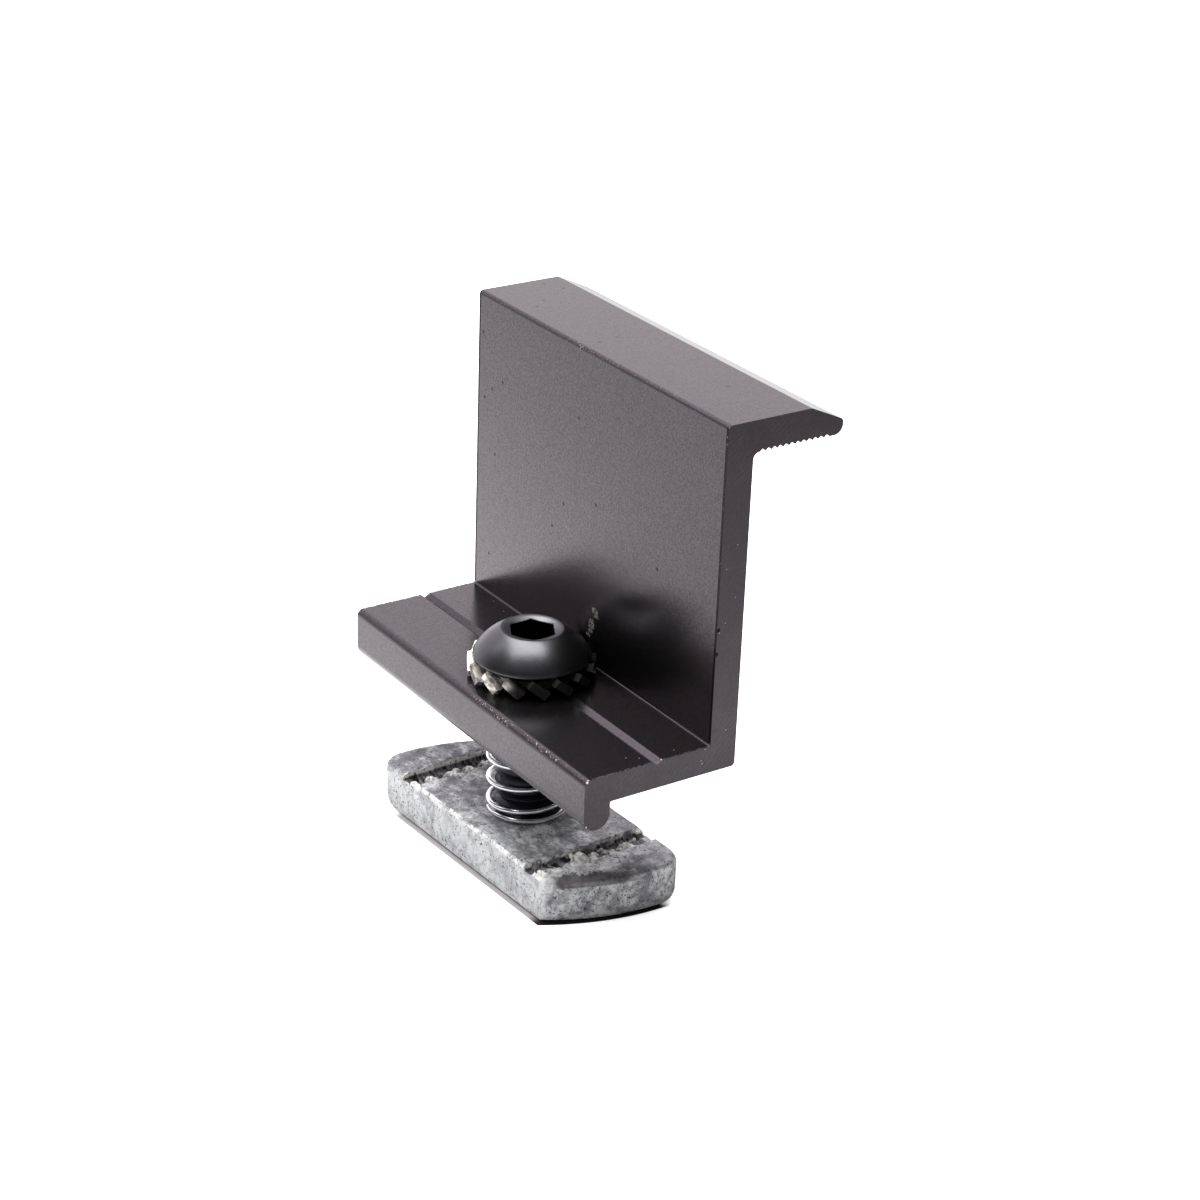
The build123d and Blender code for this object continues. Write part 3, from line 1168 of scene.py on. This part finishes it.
# Drawn stainless wire: the die leaves it nearly polished, so each turn carries a sharp bright line. The
# faint clouds in its tone are drawn coarser than the real ones.
drawn_wire = bpy.data.materials.new("drawn_stainless_wire")
drawn_wire.use_nodes = True
tree = drawn_wire.node_tree
tree.nodes.clear()
place = add(tree, "ShaderNodeTexCoord").outputs["Object"]
shader = add(
    tree,
    "ShaderNodeBsdfPrincipled",
    {"Metallic": 1.0, "Roughness": 0.1},
    {
        "Base Color": add(
            tree,
            "ShaderNodeMix",
            {"data_type": "RGBA", "A": linear("#cfd0d4"), "B": linear("#e9eaee")},
            {
                "Factor": add(
                    tree, "ShaderNodeTexNoise", {"Scale": 1 / 0.0004}, {"Vector": place}
                ).outputs["Fac"],
            },
        ).outputs["Result"],
    },
)
add(tree, "ShaderNodeOutputMaterial", {}, {"Surface": shader.outputs[0]})
spring = finished(form, "wire_spring", drawn_wire, "nut", 60)
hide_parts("spring")
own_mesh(spring)

# Channel nut: pressed steel with a thick dull zinc coat, so its corners are soft, its faces are slightly
# uneven and the coat is cloudy, speckled and smeared. The teeth in its grooves are torn, and one lens of
# its near rim is pressed down.
nut_low, nut_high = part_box("channel_nut")
nut_cell = 0.000155
groove_from = 0.0109
groove_to = 0.0148
lens_start = Vector((-0.0076, -0.0149))
lens_outward = Vector((-0.3072, -0.9515))
lens_slope = 0.22
bore_reach = 0.0052
form = bmesh.new()
form.from_mesh(nodes["channel_nut"].data)
bmesh.ops.remove_doubles(form, verts=form.verts, dist=1e-7)
nut_mesh = bpy.data.meshes.new("channel_nut_coated")
form.to_mesh(nut_mesh)
form.free()
nut = bpy.data.objects.new("channel_nut_coated", nut_mesh)
scene.collection.objects.link(nut)
remesh = nut.modifiers.new("remesh", "REMESH")
remesh.mode = "VOXEL"
remesh.voxel_size = nut_cell
depsgraph = bpy.context.evaluated_depsgraph_get()
cast_mesh = bpy.data.meshes.new_from_object(nut.evaluated_get(depsgraph))
nut.modifiers.clear()
form = bmesh.new()
form.from_mesh(cast_mesh)
bpy.data.objects.remove(nut)
bpy.data.meshes.remove(nut_mesh)
bpy.data.meshes.remove(cast_mesh)
into_nut = Matrix.Rotation(-nut_turn, 2)
grooved = []
plain = []
for vert in form.verts:
    spot = into_nut @ vert.co.xy
    in_groove = groove_from < abs(spot.y) < groove_to and vert.co.z > nut_high.z - 0.0017
    (grooved if in_groove else plain).append(vert)
bmesh.ops.smooth_vert(form, verts=plain, factor=0.5, use_axis_x=True, use_axis_y=True, use_axis_z=True)
form.normal_update()
for vert in plain:
    across = sqrt(vert.co.x**2 + vert.co.y**2)
    if vert.co.z > nut_low.z + 0.0003 and across > bore_reach:
        wide = noise.noise(vert.co * (1 / 0.0022)) * 0.00005
        fine = noise.noise(vert.co * (1 / 0.0005)) * 0.00003
        vert.co -= vert.normal * max(0.0, 0.00003 + wide + fine)
# Torn teeth, in mm: place across and along the nut, size, and drop under the rim.
torn_near = [(-7.2, 13.3, 0.7, 0.1), (-4.9, 13.6, 0.5, 0.35), (-1.6, 12.6, 0.9, 0.0), (0.5, 13.0, 0.6, 0.3)]
torn_near += [(1.7, 12.8, 0.5, 0.3), (3.5, 13.3, 0.4, 0.35), (4.7, 13.2, 0.55, 0.15), (6.2, 12.7, 0.5, 0.3)]
torn_far = [(-5.6, 12.0, 0.6, 0.1), (-2.0, 12.2, 0.55, 0.1), (-0.4, 12.0, 0.5, 0.15), (2.4, 12.1, 0.6, 0.2)]
for vert in grooved:
    spot = into_nut @ vert.co.xy * 1000
    reach = abs(spot.y)
    from_wall = reach - 11.2 if spot.y < 0 else 14.4 - reach
    deep = 0.95 - 0.6 * min(max((from_wall - 0.7) / 1.4, 0), 1)
    if abs(spot.x) > 7.3:
        in_notch = from_wall < 1.7 if spot.x < 0 else 0.5 < from_wall < 3.0
        deep = 0.75 if in_notch else 0.1
    deep += noise.noise(vert.co * (1 / 0.0006)) * 0.12
    level = min(vert.co.z, nut_high.z - deep / 1000)
    for x, y, size, drop in torn_near if spot.y < 0 else torn_far:
        away = max(abs(spot.x - x), abs(reach - y) * 0.75) / size
        away += noise.noise(vert.co * (1 / 0.0005)) * 0.4 + noise.cell(vert.co * (1 / 0.0004)) * 0.4
        if away < 1:
            level = max(level, nut_high.z - (drop + 0.7 * max(away, 0) ** 2) / 1000)
    if 11.25 < reach < 14.35:
        vert.co.z = level
    torn = noise.noise(vert.co * (1 / 0.0005)) + noise.noise(vert.co * (1 / 0.00025)) * 0.6
    vert.co -= vert.normal * max(0.0, 0.00005 + torn * 0.0001)
foot_round = 0.0008
side_face = 0.00833
turned_back = Matrix.Rotation(nut_turn, 2)
for vert in form.verts:
    spot = into_nut @ vert.co.xy
    beyond = (spot - lens_start).dot(lens_outward)
    if beyond > 0 and spot.y < 0 and vert.co.z > nut_low.z + 0.003:
        vert.co.z = min(vert.co.z, nut_high.z - beyond * lens_slope)
    vert.co.z = min(max(vert.co.z, nut_low.z), nut_high.z)
    if vert.co.z < foot_round:
        inset = foot_round - sqrt(foot_round**2 - (foot_round - vert.co.z) ** 2)
        limit = side_face - inset
        if abs(spot.x) > limit:
            spot.x = limit if spot.x > 0 else -limit
            vert.co.xy = turned_back @ spot
# Dull zinc coat on pressed steel: a pale grey, half metallic shine, clouded and mottled, with dark pits,
# spots and smears on top and bright worn edges. Shade is painted on the groove walls, the pressed lens and
# the ends, and light on the long sides and parts of the top. The pits are drawn coarser than the real ones.
zinc = bpy.data.materials.new("dull_zinc_coat")
zinc.use_nodes = True
tree = zinc.node_tree
tree.nodes.clear()
place = add(tree, "ShaderNodeTexCoord").outputs["Object"]
squared = add(tree, "ShaderNodeMapping", {"Rotation": (0.0, 0.0, -nut_turn)}, {"Vector": place}).outputs[0]
parts = add(tree, "ShaderNodeSeparateXYZ", {}, {0: squared})
height = parts.outputs["Z"]
side_y = add(tree, "ShaderNodeMath", {"operation": "ABSOLUTE"}, {0: parts.outputs["Y"]}).outputs[0]
side_x = add(tree, "ShaderNodeMath", {"operation": "ABSOLUTE"}, {0: parts.outputs["X"]}).outputs[0]
on_top = add(
    tree,
    "ShaderNodeMapRange",
    {"interpolation_type": "SMOOTHSTEP", "From Min": nut_high.z - 0.00055, "From Max": nut_high.z - 0.00015},
    {"Value": height},
).outputs[0]
on_side = add(
    tree,
    "ShaderNodeMath",
    {"operation": "SUBTRACT"},
    {
        0: add(
            tree,
            "ShaderNodeMapRange",
            {"interpolation_type": "SMOOTHSTEP", "From Min": 0.0079, "From Max": 0.0082},
            {"Value": side_x},
        ).outputs[0],
        1: add(tree, "ShaderNodeMath", {"operation": "MULTIPLY", 1: 0.5}, {0: on_top}).outputs[0],
    },
).outputs[0]
# Painted light: the long sides get weaker clouds, so they are drawn lighter.
cloud_reach = add(
    tree,
    "ShaderNodeMapRange",
    {"interpolation_type": "SMOOTHSTEP", "To Min": 1.0, "To Max": 0.45},
    {"Value": on_side},
).outputs[0]
clouds = add(
    tree,
    "ShaderNodeMapRange",
    {"interpolation_type": "SMOOTHSTEP", "From Min": 0.42, "From Max": 0.62},
    {
        "Value": add(
            tree,
            "ShaderNodeTexNoise",
            {"Scale": 1 / 0.0024, "Detail": 6.0, "Roughness": 0.62},
            {"Vector": place},
        ).outputs["Fac"],
    },
).outputs[0]
mottle = add(
    tree,
    "ShaderNodeMapRange",
    {"interpolation_type": "SMOOTHSTEP", "From Min": 0.46, "From Max": 0.66},
    {
        "Value": add(
            tree,
            "ShaderNodeTexNoise",
            {"Scale": 1 / 0.0007, "Detail": 5.0, "Roughness": 0.7},
            {"Vector": place},
        ).outputs["Fac"],
    },
).outputs[0]
streaked = add(tree, "ShaderNodeMapping", {"Scale": (1.0, 1.0, 0.25)}, {"Vector": place}).outputs[0]
streaks = add(
    tree,
    "ShaderNodeMapRange",
    {"interpolation_type": "SMOOTHSTEP", "From Min": 0.56, "From Max": 0.68, "To Max": 0.5},
    {
        "Value": add(
            tree,
            "ShaderNodeTexNoise",
            {"Scale": 1 / 0.0006, "Detail": 4.0, "Roughness": 0.65},
            {"Vector": streaked},
        ).outputs["Fac"],
    },
).outputs[0]
on_front = add(
    tree,
    "ShaderNodeMapRange",
    {"interpolation_type": "SMOOTHSTEP", "From Min": 0.0158, "From Max": 0.0175},
    {"Value": side_y},
).outputs[0]
# Painted shade on the two ends: their clouds are drawn stronger.
cloud_reach = add(
    tree,
    "ShaderNodeMath",
    {"operation": "MULTIPLY"},
    {
        0: cloud_reach,
        1: add(
            tree,
            "ShaderNodeMapRange",
            {"interpolation_type": "SMOOTHSTEP", "To Min": 1.0, "To Max": 1.15},
            {"Value": on_front},
        ).outputs[0],
    },
).outputs[0]
tone = add(
    tree,
    "ShaderNodeMix",
    {"data_type": "RGBA", "A": linear("#dcdddf"), "B": linear("#8d8c91")},
    {
        "Factor": add(
            tree, "ShaderNodeMath", {"operation": "MULTIPLY"}, {0: clouds, 1: cloud_reach}
        ).outputs[0],
    },
).outputs["Result"]
tone = add(
    tree,
    "ShaderNodeMix",
    {"data_type": "RGBA", "B": linear("#717076")},
    {
        "Factor": add(
            tree,
            "ShaderNodeMath",
            {"operation": "MULTIPLY"},
            {
                0: mottle,
                1: add(
                    tree, "ShaderNodeMath", {"operation": "MULTIPLY", 1: 0.7}, {0: cloud_reach}
                ).outputs[0],
            },
        ).outputs[0],
        "A": tone,
    },
).outputs["Result"]
tone = add(
    tree,
    "ShaderNodeMix",
    {"data_type": "RGBA", "B": linear("#7d7c81")},
    {
        "Factor": add(tree, "ShaderNodeMath", {"operation": "SUBTRACT"}, {0: streaks, 1: on_top}).outputs[0],
        "A": tone,
    },
).outputs["Result"]
smeared = add(tree, "ShaderNodeMapping", {"Scale": (1.0, 0.4, 1.0)}, {"Vector": squared}).outputs[0]
smears = add(
    tree,
    "ShaderNodeMapRange",
    {"interpolation_type": "SMOOTHSTEP", "From Min": 0.38, "From Max": 0.6},
    {
        "Value": add(
            tree,
            "ShaderNodeTexNoise",
            {"Scale": 1 / 0.0013, "Detail": 5.0, "Roughness": 0.66},
            {"Vector": smeared},
        ).outputs["Fac"],
    },
).outputs[0]
# The smears are coat marks, but their weight is painted light: they thin out towards the left side, the near
# end and the right, drawing those parts of the top lighter.
to_right = add(
    tree,
    "ShaderNodeMapRange",
    {
        "interpolation_type": "SMOOTHSTEP",
        "From Min": -0.0082,
        "From Max": -0.005,
        "To Min": 0.3,
        "To Max": 0.85,
    },
    {"Value": parts.outputs["X"]},
).outputs[0]
to_right = add(
    tree,
    "ShaderNodeMath",
    {"operation": "MULTIPLY"},
    {
        0: to_right,
        1: add(
            tree,
            "ShaderNodeMapRange",
            {"interpolation_type": "SMOOTHSTEP", "From Min": -0.016, "From Max": -0.0135, "To Min": 0.4},
            {"Value": parts.outputs["Y"]},
        ).outputs[0],
    },
).outputs[0]
to_right = add(
    tree,
    "ShaderNodeMath",
    {"operation": "MULTIPLY"},
    {
        0: to_right,
        1: add(
            tree,
            "ShaderNodeMapRange",
            {
                "interpolation_type": "SMOOTHSTEP",
                "From Min": 0.001,
                "From Max": 0.006,
                "To Min": 1.0,
                "To Max": 0.6,
            },
            {"Value": parts.outputs["X"]},
        ).outputs[0],
    },
).outputs[0]
smears = add(
    tree,
    "ShaderNodeMath",
    {"operation": "MULTIPLY"},
    {
        0: add(tree, "ShaderNodeMath", {"operation": "MULTIPLY"}, {0: on_top, 1: smears}).outputs[0],
        1: to_right,
    },
).outputs[0]
tone = add(
    tree, "ShaderNodeMix", {"data_type": "RGBA", "B": linear("#6f7075")}, {"Factor": smears, "A": tone}
).outputs["Result"]
# Painted light: the top's right part is drawn up to 35% lighter.
top_right_painted_light = add(
    tree,
    "ShaderNodeMath",
    {"operation": "MULTIPLY"},
    {
        0: on_top,
        1: add(
            tree,
            "ShaderNodeMapRange",
            {"interpolation_type": "SMOOTHSTEP", "From Min": 0.002, "From Max": 0.006, "To Max": 0.35},
            {"Value": parts.outputs["X"]},
        ).outputs[0],
    },
).outputs[0]
tone = add(
    tree, "ShaderNodeMix", {"data_type": "RGBA", "B": linear("#b4b3b6")}, {"Factor": top_right_painted_light, "A": tone}
).outputs["Result"]
# Painted light: the top near the nut's near end, left of the middle, is drawn up to 30% towards white,
# against the shade of the clamp above.
near_end_painted_light = add(
    tree,
    "ShaderNodeMath",
    {"operation": "MULTIPLY"},
    {
        0: on_top,
        1: add(
            tree,
            "ShaderNodeMapRange",
            {
                "interpolation_type": "SMOOTHSTEP",
                "From Min": -0.0155,
                "From Max": -0.0135,
                "To Min": 0.3,
                "To Max": 0.0,
            },
            {"Value": parts.outputs["Y"]},
        ).outputs[0],
    },
).outputs[0]
near_end_painted_light = add(
    tree,
    "ShaderNodeMath",
    {"operation": "MULTIPLY"},
    {
        0: near_end_painted_light,
        1: add(
            tree,
            "ShaderNodeMapRange",
            {
                "interpolation_type": "SMOOTHSTEP",
                "From Min": -0.004,
                "From Max": 0.0,
                "To Min": 1.0,
                "To Max": 0.1,
            },
            {"Value": parts.outputs["X"]},
        ).outputs[0],
    },
).outputs[0]
tone = add(
    tree, "ShaderNodeMix", {"data_type": "RGBA", "B": linear("#f2f2f4")}, {"Factor": near_end_painted_light, "A": tone}
).outputs["Result"]
# Painted shade: the two ends are greyed a quarter of the way to a darker tone.
tone = add(
    tree,
    "ShaderNodeMix",
    {"data_type": "RGBA", "B": linear("#747377")},
    {
        "Factor": add(tree, "ShaderNodeMath", {"operation": "MULTIPLY", 1: 0.25}, {0: on_front}).outputs[0],
        "A": tone,
    },
).outputs["Result"]
pits = add(
    tree,
    "ShaderNodeMapRange",
    {"interpolation_type": "SMOOTHSTEP", "From Min": 0.6, "From Max": 0.65},
    {"Value": add(tree, "ShaderNodeTexNoise", {"Scale": 1 / 0.00026}, {"Vector": place}).outputs["Fac"]},
).outputs[0]
pits = add(
    tree,
    "ShaderNodeMath",
    {"operation": "MULTIPLY"},
    {
        0: pits,
        1: add(
            tree,
            "ShaderNodeMapRange",
            {"interpolation_type": "SMOOTHSTEP", "From Min": 0.4, "From Max": 0.52, "To Min": 0.15},
            {
                "Value": add(
                    tree, "ShaderNodeTexNoise", {"Scale": 1 / 0.002}, {"Vector": place}
                ).outputs["Fac"],
            },
        ).outputs[0],
    },
).outputs[0]
tone = add(
    tree, "ShaderNodeMix", {"data_type": "RGBA", "B": linear("#454346")}, {"Factor": pits, "A": tone}
).outputs["Result"]
spots = add(
    tree,
    "ShaderNodeMapRange",
    {"interpolation_type": "SMOOTHSTEP", "From Min": 0.66, "From Max": 0.7},
    {
        "Value": add(
            tree,
            "ShaderNodeTexNoise",
            {"Scale": 1 / 0.0008, "Detail": 3.0, "Roughness": 0.6},
            {"Vector": place},
        ).outputs["Fac"],
    },
).outputs[0]
tone = add(
    tree, "ShaderNodeMix", {"data_type": "RGBA", "B": linear("#4b494c")}, {"Factor": spots, "A": tone}
).outputs["Result"]
in_groove = add(
    tree,
    "ShaderNodeMath",
    {"operation": "COMPARE", 1: (groove_from + groove_to) / 2, 2: (groove_to - groove_from) / 2 - 0.0003},
    {0: side_y},
).outputs[0]
wall_near = add(
    tree, "ShaderNodeMath", {"operation": "COMPARE", 1: -0.0116, 2: 0.0007}, {0: parts.outputs["Y"]}
).outputs[0]
wall_far = add(
    tree, "ShaderNodeMath", {"operation": "COMPARE", 1: 0.0138, 2: 0.0008}, {0: parts.outputs["Y"]}
).outputs[0]
on_wall = add(
    tree,
    "ShaderNodeMath",
    {"operation": "MAXIMUM", 1: 0.12},
    {0: add(tree, "ShaderNodeMath", {"operation": "MAXIMUM"}, {0: wall_near, 1: wall_far}).outputs[0]},
).outputs[0]
gaps = add(
    tree,
    "ShaderNodeMapRange",
    {
        "interpolation_type": "SMOOTHSTEP",
        "From Min": nut_high.z - 0.0006,
        "From Max": nut_high.z - 0.0002,
        "To Min": 1.0,
        "To Max": 0.0,
    },
    {"Value": height},
).outputs[0]
gaps = add(
    tree,
    "ShaderNodeMath",
    {"operation": "MULTIPLY"},
    {
        0: gaps,
        1: add(
            tree,
            "ShaderNodeMapRange",
            {
                "interpolation_type": "SMOOTHSTEP",
                "From Min": nut_high.z - 0.0016,
                "From Max": nut_high.z - 0.0013,
            },
            {"Value": height},
        ).outputs[0],
    },
).outputs[0]
gaps = add(
    tree,
    "ShaderNodeMath",
    {"operation": "MULTIPLY"},
    {0: gaps, 1: add(tree, "ShaderNodeMath", {"operation": "LESS_THAN", 1: 0.0081}, {0: side_x}).outputs[0]},
).outputs[0]
combed = add(tree, "ShaderNodeMapping", {"Scale": (1.0, 0.12, 0.12)}, {"Vector": squared}).outputs[0]
ribs = add(
    tree,
    "ShaderNodeMapRange",
    {"interpolation_type": "SMOOTHSTEP", "From Min": 0.4, "From Max": 0.6},
    {"Value": add(tree, "ShaderNodeTexNoise", {"Scale": 1 / 0.00032}, {"Vector": combed}).outputs["Fac"]},
).outputs[0]
wall_tone = add(
    tree,
    "ShaderNodeMix",
    {"data_type": "RGBA", "A": linear("#363437"), "B": linear("#8a898d")},
    {"Factor": ribs},
).outputs["Result"]
wall_tone = add(
    tree,
    "ShaderNodeMix",
    {"data_type": "RGBA", "B": linear("#5c595c")},
    {
        "Factor": add(
            tree, "ShaderNodeMath", {"operation": "GREATER_THAN", 1: 0.0071}, {0: side_x}
        ).outputs[0],
        "A": wall_tone,
    },
).outputs["Result"]
# Painted shade in the torn grooves: dark walls carrying their ribs, and a slight darkening of the rest of the
# groove below the rim.
painted_shade = add(
    tree,
    "ShaderNodeMath",
    {"operation": "MULTIPLY"},
    {
        0: add(tree, "ShaderNodeMath", {"operation": "MULTIPLY"}, {0: in_groove, 1: gaps}).outputs[0],
        1: on_wall,
    },
).outputs[0]
tone = add(
    tree, "ShaderNodeMix", {"data_type": "RGBA"}, {"Factor": painted_shade, "A": tone, "B": wall_tone}
).outputs["Result"]
rim_low = add(
    tree,
    "ShaderNodeMapRange",
    {"interpolation_type": "SMOOTHSTEP", "From Min": nut_high.z - 0.00055, "From Max": nut_high.z - 0.0004},
    {"Value": height},
).outputs[0]
rim_high = add(
    tree,
    "ShaderNodeMapRange",
    {
        "interpolation_type": "SMOOTHSTEP",
        "From Min": nut_high.z - 0.00012,
        "From Max": nut_high.z - 0.00002,
        "To Min": 1.0,
        "To Max": 0.0,
    },
    {"Value": height},
).outputs[0]
rim_chips = add(
    tree,
    "ShaderNodeMapRange",
    {"interpolation_type": "SMOOTHSTEP", "From Min": 0.46, "From Max": 0.56},
    {
        "Value": add(
            tree,
            "ShaderNodeTexNoise",
            {"Scale": 1 / 0.0009, "Detail": 4.0, "Roughness": 0.7},
            {"Vector": place},
        ).outputs["Fac"],
    },
).outputs[0]
worn = add(
    tree,
    "ShaderNodeMath",
    {"operation": "MULTIPLY"},
    {
        0: add(tree, "ShaderNodeMath", {"operation": "MULTIPLY"}, {0: rim_low, 1: rim_high}).outputs[0],
        1: rim_chips,
    },
).outputs[0]
worn = add(
    tree,
    "ShaderNodeMath",
    {"operation": "MULTIPLY"},
    {0: worn, 1: add(tree, "ShaderNodeMath", {"operation": "LESS_THAN", 1: 0.0142}, {0: side_y}).outputs[0]},
).outputs[0]
torn_edges = add(
    tree,
    "ShaderNodeMapRange",
    {"interpolation_type": "SMOOTHSTEP", "From Min": 0.36, "From Max": 0.47},
    {
        "Value": add(
            tree,
            "ShaderNodeTexNoise",
            {"Scale": 1 / 0.0004, "Detail": 3.0, "Roughness": 0.7},
            {"Vector": place},
        ).outputs["Fac"],
    },
).outputs[0]
torn_high = add(
    tree,
    "ShaderNodeMapRange",
    {"interpolation_type": "SMOOTHSTEP", "From Min": nut_high.z - 0.0007, "From Max": nut_high.z - 0.00045},
    {"Value": height},
).outputs[0]
torn = add(
    tree,
    "ShaderNodeMath",
    {"operation": "MULTIPLY"},
    {
        0: add(tree, "ShaderNodeMath", {"operation": "MULTIPLY"}, {0: in_groove, 1: torn_edges}).outputs[0],
        1: torn_high,
    },
).outputs[0]
tone = add(
    tree,
    "ShaderNodeMix",
    {"data_type": "RGBA", "B": linear("#f0eeea")},
    {
        "Factor": add(tree, "ShaderNodeMath", {"operation": "MAXIMUM"}, {0: worn, 1: torn}).outputs[0],
        "A": tone,
    },
).outputs["Result"]
# Painted shade on the pressed-down lens of the near rim: dark, clouded tones there.
lens_way = add(
    tree,
    "ShaderNodeVectorMath",
    {"operation": "DOT_PRODUCT", 1: (lens_outward.x, lens_outward.y, 0.0)},
    {0: squared},
).outputs["Value"]
past_lens = add(
    tree, "ShaderNodeMath", {"operation": "SUBTRACT", 1: lens_start.dot(lens_outward)}, {0: lens_way}
).outputs[0]
lens_edge = add(
    tree,
    "ShaderNodeMapRange",
    {"From Min": 0.3, "From Max": 0.7, "To Min": -0.0009, "To Max": 0.0009},
    {
        "Value": add(
            tree,
            "ShaderNodeTexNoise",
            {"Scale": 1 / 0.0012, "Detail": 4.0, "Roughness": 0.65},
            {"Vector": place},
        ).outputs["Fac"],
    },
).outputs[0]
past_lens = add(tree, "ShaderNodeMath", {"operation": "ADD"}, {0: past_lens, 1: lens_edge}).outputs[0]
in_lens = add(
    tree,
    "ShaderNodeMath",
    {"operation": "MULTIPLY"},
    {
        0: add(
            tree,
            "ShaderNodeMapRange",
            {"interpolation_type": "SMOOTHSTEP", "From Min": -0.0002, "From Max": 0.0004},
            {"Value": past_lens},
        ).outputs[0],
        1: add(
            tree,
            "ShaderNodeMapRange",
            {
                "interpolation_type": "SMOOTHSTEP",
                "From Min": nut_high.z - 0.0012,
                "From Max": nut_high.z - 0.0009,
            },
            {"Value": height},
        ).outputs[0],
    },
).outputs[0]
in_lens = add(
    tree,
    "ShaderNodeMath",
    {"operation": "MULTIPLY"},
    {
        0: in_lens,
        1: add(
            tree,
            "ShaderNodeMapRange",
            {"interpolation_type": "SMOOTHSTEP", "From Max": 0.004, "To Min": 0.9, "To Max": 0.0},
            {"Value": parts.outputs["X"]},
        ).outputs[0],
    },
).outputs[0]
in_lens = add(
    tree,
    "ShaderNodeMath",
    {"operation": "MULTIPLY"},
    {
        0: in_lens,
        1: add(
            tree,
            "ShaderNodeMapRange",
            {"interpolation_type": "SMOOTHSTEP", "From Min": -0.0077, "From Max": -0.0067},
            {"Value": parts.outputs["X"]},
        ).outputs[0],
    },
).outputs[0]
tone = add(
    tree,
    "ShaderNodeMix",
    {"data_type": "RGBA"},
    {
        "Factor": in_lens,
        "A": tone,
        "B": add(
            tree,
            "ShaderNodeMix",
            {"data_type": "RGBA", "A": linear("#6b6869"), "B": linear("#4b484a")},
            {"Factor": clouds},
        ).outputs["Result"],
    },
).outputs["Result"]
coat_bump = add(tree, "ShaderNodeBump", {"Strength": 0.6, "Distance": 0.00006}, {"Height": mottle})
shader = add(
    tree,
    "ShaderNodeBsdfPrincipled",
    {"Metallic": 0.4},
    {
        "Base Color": tone,
        "Roughness": add(
            tree, "ShaderNodeMapRange", {"To Min": 0.42, "To Max": 0.58}, {"Value": clouds}
        ).outputs[0],
        "Normal": coat_bump.outputs[0],
    },
)
add(tree, "ShaderNodeOutputMaterial", {}, {"Surface": shader.outputs[0]})
coated_nut = finished(form, "coated_channel_nut", zinc, "nut", 50)
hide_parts("channel_nut")
